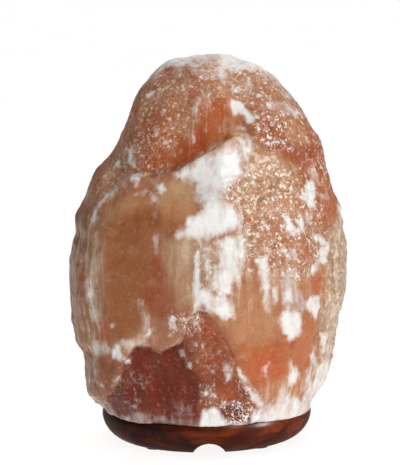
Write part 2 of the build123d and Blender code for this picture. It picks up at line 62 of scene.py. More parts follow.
# ---------------------------------------------------------------- viewpoint
EYE = (-2.8, -1600.0, 355.0)
EYE_PITCH, EYE_ROLL, EYE_FOCAL = math.radians(8.06), math.radians(0.7), 2617.0

cam_data = bpy.data.cameras.new("camera")
cam = bpy.data.objects.new("camera", cam_data)
bpy.context.scene.collection.objects.link(cam)
bpy.context.scene.camera = cam
cam_data.sensor_width = 36.0
cam_data.lens = EYE_FOCAL / 465 * 36
cam_data.clip_end = 20
cam.matrix_world = (
    Matrix.Translation([v / 1000 for v in EYE])
    @ Matrix.Rotation(math.pi / 2 - EYE_PITCH, 4, "X")
    @ Matrix.Rotation(-EYE_ROLL, 4, "Z")
)

# ---------------------------------------------------------------- form of the crystal
# The same body, facets, ledge and hollow as the solid, in millimetres.
CENTRE = np.array((1.2, 0.0, 118.0))
OUTLINE = np.array([
    85.5, 85.5, 84.6, 85.5, 85.7, 85.9, 87.7, 90.5, 95.0, 99.1, 100.9, 104.3,
    107.3, 111.4, 116.5, 121.3, 121.5, 120.9, 120.4, 119.2, 118.7, 115.4, 110.2, 102.9,
    94.7, 89.1, 84.9, 83.3, 84.3, 84.3, 82.9, 81.5, 82.2, 82.9, 81.5, 82.6,
    83.6, 85.6, 87.3, 88.5, 90.6, 94.1, 96.4, 98.6, 99.2, 107.4, 116.4, 117.2,
    121.0, 128.0, 136.0, 143.0, 148.0, 152.0, 153.0, 150.0, 147.0, 142.0, 136.0, 129.0,
    121.0, 114.0, 109.9, 106.9, 101.5, 97.5, 94.4, 92.7, 91.2, 88.6, 86.7, 85.6])
HALF_DEPTH_FRONT, HALF_DEPTH_BACK = 77.0, 76.0
BASE_TOP = 20.0

FRONT_FACETS = [
    (130, 250, (-0.36, -0.93, 0.03), 5.0),
    (100, 300, (-0.70, -0.70, -0.10), 2.6),
    (186, 258, (-0.05, -0.995, 0.04), 2.6),
    (150, 200, (-0.26, -0.90, 0.34), 4.2),
    (165, 112, (-0.60, -0.67, 0.43), 4.6),
    (212, 112, (-0.05, -0.86, 0.50), 4.6),
    (262, 118, (0.40, -0.70, 0.60), 5.0),
    (298, 150, (0.74, -0.56, 0.38), 3.4),
    (262, 178, (0.22, -0.93, 0.30), 4.2),
    (306, 232, (0.78, -0.62, 0.06), 4.0),
    (250, 245, (0.26, -0.96, 0.03), 3.2),
    (258, 335, (0.20, -0.97, -0.12), 4.4),
    (312, 312, (0.80, -0.55, -0.22), 2.4),
    (295, 385, (0.50, -0.82, -0.26), 2.6),
    (150, 385, (-0.28, -0.94, -0.20), 3.4),
    (212, 372, (0.04, -0.98, -0.16), 3.0),
    (104, 372, (-0.66, -0.70, -0.24), 1.8),
    (240, 72, (0.16, -0.44, 0.88), 0.3),
    (180, 74, (-0.34, -0.40, 0.85), 1.8),
]
BACK_FACETS = [
    (8, 22, 6, -4, 2.0), (-6, -14, -4, 3, 0.3), (28, -2, 5, 2, 3.0), (40, 34, -6, -6, 3.2), (52, -26, 4, 9, 2.2),
    (62, 8, -5, 2, 3.6), (84, 38, 4, -8, 3.6), (88, -10, -3, 3, 3.4), (96, -36, 3, 12, 1.6), (112, 14, 6, -3, 3.6),
    (128, -24, -4, 8, 2.2), (134, 40, -5, -6, 3.4), (146, 4, 5, 2, 3.0), (160, -28, 3, 8, 0.6), (168, 28, -6, -5, 2.6),
    (184, -4, 4, 2, 0.6), (110, 66, 8, -6, 3.0), (30, 64, -8, -4, 1.0),
]
FACET_SHARPNESS = 190.0
LEDGE = [(40, 250), (74, 226), (93, 210), (104, 195), (114, 187), (128, 177), (150, 174), (173, 171), (190, 161), (205, 152),
         (222, 143), (234, 132), (242, 133), (250, 140), (262, 152)]
HOLLOW = [(96, 432), (106, 401), (113, 384), (122, 365), (129, 352), (136, 346), (150, 346), (156, 350), (162, 354), (171, 349),
          (180, 341), (187, 324), (195, 311), (206, 312), (222, 331), (231, 347), (237, 358), (239, 374), (248, 391), (258, 409),
          (256, 432)]


def smooth(lo, hi, x):
    t = np.clip((x - lo) / (hi - lo), 0.0, 1.0)
    return t * t * (3 - 2 * t)


def unit(v):
    v = np.array(v, float)
    return v / np.linalg.norm(v)


def to_sheet(p):
    x, y, z = p[:, 0] - EYE[0], p[:, 1] - EYE[1], p[:, 2] - EYE[2]
    depth = y * math.cos(EYE_PITCH) - z * math.sin(EYE_PITCH)
    up = y * math.sin(EYE_PITCH) + z * math.cos(EYE_PITCH)
    a, b = EYE_FOCAL * x / depth, -EYE_FOCAL * up / depth
    c, s = math.cos(EYE_ROLL), math.sin(EYE_ROLL)
    return 200.0 + a * c + b * s, 232.5 - a * s + b * c


def outline(phi):
    t = (phi % 360.0) / 5.0
    k = np.floor(t).astype(int)
    f = t - k
    p0, p1, p2, p3 = (OUTLINE[(k + i) % 72] for i in (-1, 0, 1, 2))
    return 0.5 * (2 * p1 + (p2 - p0) * f + (2 * p0 - 5 * p1 + 4 * p2 - p3) * f * f
                  + (3 * p1 - p0 - 3 * p2 + p3) * f ** 3)


def body_radius(n):
    c = np.hypot(n[:, 0], n[:, 2])
    a = outline(np.degrees(np.arctan2(n[:, 2], n[:, 0])))
    b = np.where(n[:, 1] < 0, HALF_DEPTH_FRONT, HALF_DEPTH_BACK)
    return ((c / a) ** 2.5 + (np.abs(n[:, 1]) / b) ** 2.5) ** (-1 / 2.5)


def front_point(px, py):
    a, b = px - 200.0, py - 232.5
    c, s = math.cos(EYE_ROLL), math.sin(EYE_ROLL)
    x, y = a * c - b * s, a * s + b * c
    d = unit((x, EYE_FOCAL * math.cos(EYE_PITCH) - y * math.sin(EYE_PITCH),
              -EYE_FOCAL * math.sin(EYE_PITCH) - y * math.cos(EYE_PITCH)))
    lo, hi = 1450.0, 1640.0
    for _ in range(40):
        t = (lo + hi) / 2
        q = np.array(EYE) + d * t - CENTRE
        r = np.linalg.norm(q)
        if r > body_radius((q / r)[None, :])[0]:
            lo = t
        else:
            hi = t
    return q


def facet_planes():
    planes = []
    for px, py, n, cut in FRONT_FACETS:
        q, n = front_point(px, py), unit(n)
        planes.append((n, float(q @ n) - cut))
    for az, el, daz, tip, cut in BACK_FACETS:
        a, e = math.radians(az), math.radians(el)
        d = unit((math.cos(e) * math.cos(a), math.cos(e) * math.sin(a), math.sin(e)))
        a, e = math.radians(az + daz), math.radians(el + tip)
        n = unit((math.cos(e) * math.cos(a), math.cos(e) * math.sin(a), math.sin(e)))
        q = d * body_radius(d[None, :])[0]
        planes.append((n, float(q @ n) - cut))
    return planes


def line_distance(px, py, line):
    """Distance to an open line, positive above it."""
    best, sign = np.full(px.shape, 1e9), np.ones(px.shape)
    for (x0, y0), (x1, y1) in zip(line, line[1:]):
        dx, dy = x1 - x0, y1 - y0
        t = np.clip(((px - x0) * dx + (py - y0) * dy) / (dx * dx + dy * dy), 0, 1)
        d = np.hypot(px - (x0 + t * dx), py - (y0 + t * dy))
        s = np.where(dx * (py - y0) - dy * (px - x0) < 0, 1.0, -1.0)
        best, sign = np.where(d < best, d, best), np.where(d < best, s, sign)
    return best * sign


def area_distance(px, py, ring):
    """Distance to a closed outline, positive inside."""
    best, inside = np.full(px.shape, 1e9), np.zeros(px.shape, bool)
    for (x0, y0), (x1, y1) in zip(ring, ring[1:] + ring[:1]):
        dx, dy = x1 - x0, y1 - y0
        t = np.clip(((px - x0) * dx + (py - y0) * dy) / (dx * dx + dy * dy + 1e-9), 0, 1)
        best = np.minimum(best, np.hypot(px - (x0 + t * dx), py - (y0 + t * dy)))
        inside ^= ((y0 > py) != (y1 > py)) & (px < (x1 - x0) * (py - y0) / (y1 - y0 + 1e-9) + x0)
    return np.where(inside, best, -best)


# ---------------------------------------------------------------- seeded noise helpers
_GRID = rng.random((32, 32, 32))


def noise(p, size, octaves=3, rough=0.5, shift=0.0):
    """Smooth value noise in -1..1 at points p (mm)."""
    out, amp, total = np.zeros(len(p)), 1.0, 0.0
    q = p / size + shift
    for _ in range(octaves):
        i = np.floor(q).astype(int)
        f = q - i
        f = f * f * (3 - 2 * f)
        acc = 0.0
        for dx in (0, 1):
            for dy in (0, 1):
                for dz in (0, 1):
                    w = (f[:, 0] if dx else 1 - f[:, 0]) * (f[:, 1] if dy else 1 - f[:, 1]) * (f[:, 2] if dz else 1 - f[:, 2])
                    acc = acc + w * _GRID[(i[:, 0] + dx) % 32, (i[:, 1] + dy) % 32, (i[:, 2] + dz) % 32]
        out += amp * (acc * 2 - 1)
        total += amp
        amp *= rough
        q = q * 2.03 + 7.3
    return out / total


def scallops(p, n, count, tilt, curve, k=4):
    """Broken-out shells: lowest of many shallow bowls, each turned its own way. Millimetres below the ridges."""
    seeds_n = rng.normal(size=(count, 3))
    seeds_n /= np.linalg.norm(seeds_n, axis=1)[:, None]
    seeds = CENTRE + seeds_n * body_radius(seeds_n)[:, None]
    tilts = rng.normal(size=(count, 3)) * tilt
    tilts -= seeds_n * (tilts * seeds_n).sum(1)[:, None]
    lift = rng.random(count) * curve * 12
    tree = kdtree.KDTree(count)
    for i, s in enumerate(seeds):
        tree.insert(s, i)
    tree.balance()
    q = CENTRE + n * body_radius(n)[:, None]
    near = np.array([[i for _, i, _ in tree.find_n(v, k)] for v in q])
    d = q[:, None, :] - seeds[near]
    h = lift[near] + (d * tilts[near]).sum(2) + curve * (d * d).sum(2)
    return h.min(axis=1)


def crystal_radius(n, planes, fine=True):
    r = body_radius(n)
    total = np.ones(len(r))
    for m, d in planes:
        s = n @ m
        total += np.where(s > 0.05, (np.maximum(s, 0.05) * r / d) ** FACET_SHARPNESS, 0.0)
    r = r * total ** (-1 / FACET_SHARPNESS)
    p = CENTRE + n * r[:, None]
    px, py = to_sheet(p)
    wob = noise(p, 9.0, 3) * 2.2
    wob2 = noise(p, 9.0, 3, shift=3.7) * 2.2
    front = smooth(-0.05, 0.62, -n[:, 1])
    s = line_distance(px + wob, py + wob2, LEDGE)
    ends = smooth(86, 112, px) * (1 - smooth(240, 262, px))
    shelf = 1 - (1 - np.clip((s + 2.0) / 13.0, 0.0, 1.0)) ** 2
    r = r - 6.0 * front * ends * shelf * (1 - smooth(12, 85, s))
    e = np.hypot((px - 212) / 26.0, (py - 128) / 44.0)
    r = r - 3.0 * front * (1 - smooth(0.45, 1.0, e)) * shelf
    h = area_distance(px + wob, py + wob2, HOLLOW)
    deep = (0.55 + 0.45 * (1 - smooth(165, 215, px))) * (1 - 0.75 * smooth(378, 425, py))
    wide = 3.5 * smooth(200, 236, px)
    r = r - front * 5.5 * smooth(-1.5 - wide, 2.5 + wide, h) * deep * (1 - 0.45 * smooth(205, 236, px))
    ridge = np.exp(-(((px - (222 - 0.06 * (py - 200))) / 17.0) ** 2)) * smooth(118, 150, py) * (1 - smooth(285, 325, py))
    r = r + 1.2 * front * ridge
    return r


def crystal_mesh():
    bm = bmesh.new()
    bmesh.ops.create_icosphere(bm, subdivisions=7, radius=1.0)
    front = [f for f in bm.faces if f.calc_center_median().y < 0.02 and f.calc_center_median().z > -0.86]
    edges = {e for f in front for e in f.edges}
    bmesh.ops.subdivide_edges(bm, edges=list(edges), cuts=1, use_grid_fill=True)
    bmesh.ops.triangulate(bm, faces=bm.faces[:])
    me = bpy.data.meshes.new("salt_rock")
    bm.to_mesh(me)
    bm.free()
    co = np.zeros(len(me.vertices) * 3, np.float32)
    me.vertices.foreach_get("co", co)
    n = co.reshape(-1, 3).astype(float)
    n /= np.linalg.norm(n, axis=1)[:, None]
    planes = facet_planes()
    r = crystal_radius(n, planes)
    p = CENTRE + n * r[:, None]
    px, py = to_sheet(p)
    rough = roughness_map(p, n, px, py)
    # hewn surface: large shells, small shells, grain
    for count, tilt, curve, least, most in ((420, 0.06, 0.006, 0.35, 1.0), (2600, 0.10, 0.026, 0.10, 1.0), (9000, 0.16, 0.05, 0.06, 0.76)):
        bowl = scallops(p, n, count, tilt, curve)
        r = r - (bowl - 0.8 * bowl.mean()) * (least + (most - least) * rough)
    r = r + noise(p, 14.0, 4) * 0.7 + noise(p, 3.2, 3) * (0.08 + 0.35 * rough)
    # surface points from the radii
    p = CENTRE + n * r[:, None]
    # flat foot on the base
    down = n[:, 2] < -0.01
    r[down] = np.minimum(r[down], (BASE_TOP + 0.02 - CENTRE[2]) / n[down, 2])
    p = CENTRE + n * r[:, None]
    lo, hi = (np.array(v) * 1000 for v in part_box("salt_crystal"))
    p = np.clip(p, lo + 0.05, hi - 0.05)
    me.vertices.foreach_set("co", (p / 1000).astype(np.float32).ravel())
    me.update()
    return me


def roughness_map(p, n, px, py):
    """0 on the smooth cleavage faces, 1 where the surface is broken and glittering."""
    front = smooth(-0.12, 0.04, -n[:, 1])
    calm = 0.7 * smooth(0.55, 0.8, n[:, 2])
    for ring, soft, much in (
        ([(100, 205), (150, 185), (158, 190), (160, 300), (150, 335), (105, 335), (98, 290)], 8, 1.0),
        ([(160, 186), (195, 186), (196, 215), (165, 222)], 6, 1.0),
        ([(238, 290), (280, 285), (284, 345), (300, 395), (262, 402), (240, 360), (228, 335)], 8, 1.0),
        ([(248, 148), (290, 158), (290, 178), (255, 176)], 6, 1.0),
        ([(136, 350), (172, 352), (200, 385), (198, 405), (118, 408), (112, 392)], 6, 1.0),
        ([(192, 322), (212, 330), (232, 365), (245, 400), (215, 392), (192, 362)], 6, 0.9),
        ([(176, 172), (205, 152), (240, 138), (250, 150), (244, 176), (236, 200), (238, 228), (200, 242), (180, 236)], 6, 0.9),
        ([(66, 250), (80, 195), (108, 145), (134, 140), (134, 172), (114, 190), (98, 212), (92, 250)], 6, 0.85),
        ([(120, 178), (126, 120), (138, 84), (160, 56), (205, 50), (206, 100), (186, 140), (176, 172)], 6, 0.65),
        ([(186, 140), (205, 105), (231, 100), (231, 146), (177, 172)], 4, 1.0),
        ([(56, 230), (98, 214), (102, 345), (66, 350)], 6, 0.7),
        ([(162, 240), (198, 240), (198, 300), (180, 316), (150, 330), (150, 260)], 6, 0.9),
        ([(264, 380), (300, 376), (330, 360), (330, 400), (290, 425), (250, 425)], 6, 0.8),
    ):
        calm = np.maximum(calm, much * smooth(-soft, soft, area_distance(px, py, ring)))
    side = 0.5 + 0.5 * smooth(-0.25, 0.35, noise(p, 38.0, 2, shift=1.3))
    return front * (1 - calm) * 0.85 + (1 - front) * side * 0.75


def solid_of(name, verts, faces):
    me = bpy.data.meshes.new(name)
    me.from_pydata(verts, [], faces)
    ob = bpy.data.objects.new(name, me)
    bpy.context.scene.collection.objects.link(ob)
    return ob


def turned(name, profile, segs=96, centre=(0.0, 0.0)):
    """Closed turned solid from a profile of (radius, z) in mm that starts and ends on the axis."""
    verts, faces = [], []
    inner = profile[1:-1]
    verts.append((centre[0] / 1000, centre[1] / 1000, profile[0][1] / 1000))
    for r, z in inner:
        for i in range(segs):
            a = 2 * math.pi * i / segs
            verts.append(((centre[0] + r * math.cos(a)) / 1000, (centre[1] + r * math.sin(a)) / 1000, z / 1000))
    verts.append((centre[0] / 1000, centre[1] / 1000, profile[-1][1] / 1000))
    last = len(verts) - 1
    for i in range(segs):
        j = (i + 1) % segs
        faces.append((0, 1 + j, 1 + i))
        for k in range(len(inner) - 1):
            a, b = 1 + k * segs, 1 + (k + 1) * segs
            faces.append((a + i, a + j, b + j, b + i))
        a = 1 + (len(inner) - 1) * segs
        faces.append((a + i, a + j, last))
    return solid_of(name, verts, faces)


def cut(target, cutter):
    mod = target.modifiers.new("cut", "BOOLEAN")
    mod.operation, mod.solver, mod.object = "DIFFERENCE", "MANIFOLD", cutter
    bpy.context.view_layer.update()
    dg = bpy.context.evaluated_depsgraph_get()
    me = bpy.data.meshes.new_from_object(target.evaluated_get(dg))
    target.modifiers.clear()
    target.data = me
    bpy.data.objects.remove(cutter)


# ---------------------------------------------------------------- marks on the crystal
# Colours of the salt, then its veins and patches as (colour, outline on the sheet, softness, strength), laid one over the other.
PALETTE = {
    "clay": (0.66, 0.44, 0.31), "salmon": (0.72, 0.51, 0.385), "rust": (0.71, 0.375, 0.215), "ember": (0.63, 0.29, 0.15),
    "tan": (0.76, 0.585, 0.43), "buff": (0.69, 0.53, 0.40), "sand": (0.735, 0.615, 0.50), "amber": (0.775, 0.60, 0.435), "peach": (0.74, 0.52, 0.37),
    "orange": (0.725, 0.43, 0.27), "flame": (0.75, 0.385, 0.22), "brick": (0.65, 0.35, 0.22), "umber": (0.675, 0.48, 0.36),
    "mocha": (0.55, 0.36, 0.255), "honey": (0.60, 0.365, 0.215), "olive": (0.575, 0.395, 0.275), "blush": (0.66, 0.45, 0.335),
    "wine": (0.425, 0.14, 0.06), "plum": (0.455, 0.20, 0.13), "cocoa": (0.475, 0.20, 0.11), "russet": (0.58, 0.28, 0.145),
}
TINT = [
    ("clay", [(96, 176), (104, 140), (110, 108), (120, 74), (140, 36), (205, 30), (212, 100), (201, 113), (182, 145), (172, 174)], 7, 1.0),
    ("salmon", [(204, 50), (262, 46), (296, 80), (312, 112), (300, 120), (262, 112), (228, 112), (210, 100)], 6, 1.0),
    ("rust", [(150, 128), (182, 126), (178, 150), (170, 174), (134, 174), (140, 150)], 6, 0.6),
    # The chute and the crease above the ledge: red salt, darkened further as painted shade of the hollow.
    ("rust", [(203, 102), (229, 98), (230, 146), (214, 151), (198, 160), (177, 172), (168, 168), (182, 145), (200, 114)], 4, 1.0),
    ("ember", [(182, 146), (200, 130), (208, 150), (192, 163), (174, 173)], 5, 0.8),
    ("flame", [(214, 104), (229, 100), (229, 145), (217, 147), (212, 126)], 4, 0.45),
    ("clay", [(192, 92), (206, 96), (205, 112), (194, 132), (184, 138), (190, 112)], 5, 0.6),
    ("peach", [(213, 116), (218, 116), (220, 150), (213, 152)], 2.5, 0.5),
    ("tan", [(196, 160), (206, 150), (222, 142), (238, 138), (242, 146), (224, 153), (206, 162)], 1.6, 0.75),
    ("tan", [(229.5, 118), (236, 122), (245, 133), (241, 146), (230, 146)], 1.6, 1.0),
    ("rust", [(253, 108), (286, 110), (290, 128), (286, 150), (266, 150), (252, 132)], 4, 0.55),
    ("peach", [(283, 112), (296, 112), (312, 124), (314, 146), (296, 147), (284, 132)], 4, 0.85),
    ("brick", [(300, 104), (322, 132), (332, 176), (346, 226), (324, 224), (314, 180), (311, 140)], 5, 0.8),
    ("brick", [(262, 140), (284, 148), (309, 145), (320, 150), (322, 175), (312, 172), (300, 166), (283, 157), (270, 150)], 3, 0.95),
    ("tan", [(245, 146), (262, 147), (283, 159), (292, 165), (290, 178), (262, 172), (246, 160)], 3, 0.9),
    ("amber", [(238, 172), (262, 166), (302, 174), (304, 214), (285, 222), (246, 230), (238, 215), (226, 200)], 7, 0.9),
    ("orange", [(300, 160), (330, 165), (338, 215), (318, 232), (304, 214)], 6, 0.7),
    ("peach", [(240, 228), (285, 222), (324, 228), (324, 304), (300, 304), (262, 292), (240, 290)], 8, 0.9),
    ("orange", [(285, 236), (312, 240), (318, 262), (300, 268), (284, 256)], 5, 0.6),
    ("flame", [(312, 276), (320, 262), (330, 262), (331, 304), (322, 306), (312, 292)], 4, 0.75),
    ("peach", [(228, 286), (262, 282), (284, 284), (284, 340), (262, 352), (240, 352), (228, 332), (222, 308)], 5, 1.0),
    ("orange", [(234, 344), (284, 338), (304, 330), (306, 384), (290, 396), (262, 394), (246, 382), (236, 365)], 7, 0.95),
    ("flame", [(249, 352), (275, 350), (284, 372), (272, 384), (252, 378)], 7, 0.9),
    ("orange", [(300, 318), (316, 318), (318, 352), (308, 374), (306, 394), (298, 390)], 4, 0.9),
    ("tan", [(272, 380), (290, 384), (300, 396), (284, 404), (268, 398)], 5, 0.6),
    ("sand", [(324, 250), (333, 226), (352, 204), (352, 306), (344, 344), (330, 378), (312, 378), (318, 340), (325, 300)], 5, 0.9),
    ("umber", [(48, 250), (54, 206), (70, 170), (96, 126), (130, 138), (130, 172), (113, 186), (98, 200), (90, 216), (88, 250)], 5, 1.0),
    # The shelf on the ledge: pinker and lighter, partly painted light falling on its top.
    ("blush", [(112, 193), (120, 182), (140, 177), (174, 173), (176, 184), (162, 187), (136, 193), (114, 202)], 3, 0.9),
    ("honey", [(96, 250), (104, 214), (130, 203), (152, 208), (154, 300), (142, 322), (120, 342), (100, 342), (96, 290)], 8, 1.0),
    ("tan", [(104, 208), (130, 196), (152, 194), (152, 210), (128, 214), (106, 222)], 5, 0.7),
    ("tan", [(156, 184), (184, 178), (194, 186), (196, 206), (192, 220), (160, 224)], 4, 1.0),
    ("orange", [(162, 206), (190, 204), (186, 222), (164, 224)], 6, 0.5),
    ("honey", [(150, 208), (162, 214), (180, 226), (176, 244), (156, 256), (150, 236)], 5, 0.7),
    # The left edge: darker olive, painted shade on the side away from the lamp.
    ("olive", [(40, 240), (60, 206), (88, 206), (97, 222), (98, 330), (92, 352), (44, 352)], 5, 0.95),
    ("sand", [(88, 224), (98, 218), (100, 330), (92, 345), (88, 300)], 5, 0.45),
    ("brick", [(76, 258), (87, 260), (88, 284), (78, 290)], 3, 0.7),
    ("russet", [(154, 256), (166, 262), (172, 290), (176, 318), (153, 326), (145, 304), (150, 279)], 3, 0.95),
    ("buff", [(164, 240), (196, 238), (197, 306), (184, 308), (172, 296), (164, 268)], 4, 1.0),
    ("blush", [(152, 278), (178, 280), (186, 306), (172, 316), (152, 308)], 5, 0.5),
    ("buff", [(196, 238), (220, 238), (218, 300), (196, 300)], 4, 0.8),
    ("sand", [(178, 236), (196, 236), (195, 262), (180, 268)], 6, 0.5),
    ("blush", [(149, 318), (176, 314), (184, 320), (182, 340), (160, 354), (150, 346)], 4, 1.0),
    ("rust", [(97, 322), (112, 322), (114, 342), (98, 344)], 3, 0.7),
    ("mocha", [(56, 352), (98, 350), (128, 358), (122, 384), (110, 414), (60, 414)], 4, 1.0),
    ("honey", [(99, 355), (122, 358), (120, 374), (112, 390), (100, 386)], 4, 0.6),
    ("sand", [(88, 342), (120, 342), (146, 334), (150, 345), (132, 350), (124, 360), (100, 356)], 4, 0.6),
    ("orange", [(248, 188), (298, 176), (304, 214), (264, 232), (250, 214)], 7, 0.40),
    ("rust", [(134, 110), (140, 84), (164, 68), (200, 66), (200, 98), (180, 138), (150, 172), (124, 172)], 8, 0.24),
    ("rust", [(290, 108), (306, 116), (324, 140), (322, 160), (300, 150)], 6, 0.18),
]
# The two faces of the hollow at the foot: deep-red salt, painted darker as shade of the recess, the left face darker
# than the right.
DARK_LEFT = [(96, 432), (106, 402), (107.7, 397), (114.4, 392.6), (117.4, 383.5), (122.3, 372.6), (125.3, 362.3), (131, 352), (135.6, 347),
             (150.8, 346.5), (153.2, 350.8), (159.8, 352.6), (167.3, 348.3), (178.2, 344), (184, 340), (184.2, 359), (191.5, 369.5),
             (197.6, 374.4), (207.3, 384.7), (206, 389.5), (202.4, 395.6), (198, 404), (198, 432)]
DARK_RIGHT = [(182, 342), (187, 326), (195, 312), (200, 309), (207, 313), (223.6, 338), (229.7, 344), (232.7, 351.4), (236.4, 357.4),
              (237.6, 363.5), (238.2, 377.4), (241.8, 387.7), (247.9, 392.6), (255, 398.6), (262, 410), (256, 432), (196, 432), (190, 380)]
DARK_GLITTER = [(221, 404), (236, 402), (249, 408), (252, 416), (248, 425), (224, 426), (219, 414)]
# veins inside the two dark faces, and painted shade: the plum band darkens the bottom of the hollow
DARK_VEINS_AND_SHADE = [
    ("plum", [(100, 396), (200, 400), (200, 432), (100, 432)], 9, 0.75),
    ("plum", [(104, 380), (118, 384), (118, 412), (104, 412)], 6, 0.5),
    ("cocoa", [(156, 356), (182, 346), (196, 380), (190, 400), (166, 396)], 7, 0.7),
    ("clay", [(202, 386), (208, 383), (216, 392), (216, 404), (204, 404)], 2.5, 0.6),
    ("russet", [(196, 340), (222, 345), (232, 372), (222, 384), (204, 372), (190, 356)], 8, 0.5),
    ("rust", [(222, 336), (238, 360), (239, 380), (234, 384), (230, 360)], 3, 0.7),
    ("rust", [(214, 388), (246, 394), (254, 404), (236, 402), (218, 400)], 5, 0.5),
    ("cocoa", [(192, 372), (198, 375), (208, 386), (206, 392), (198, 388)], 2, 0.9),
]
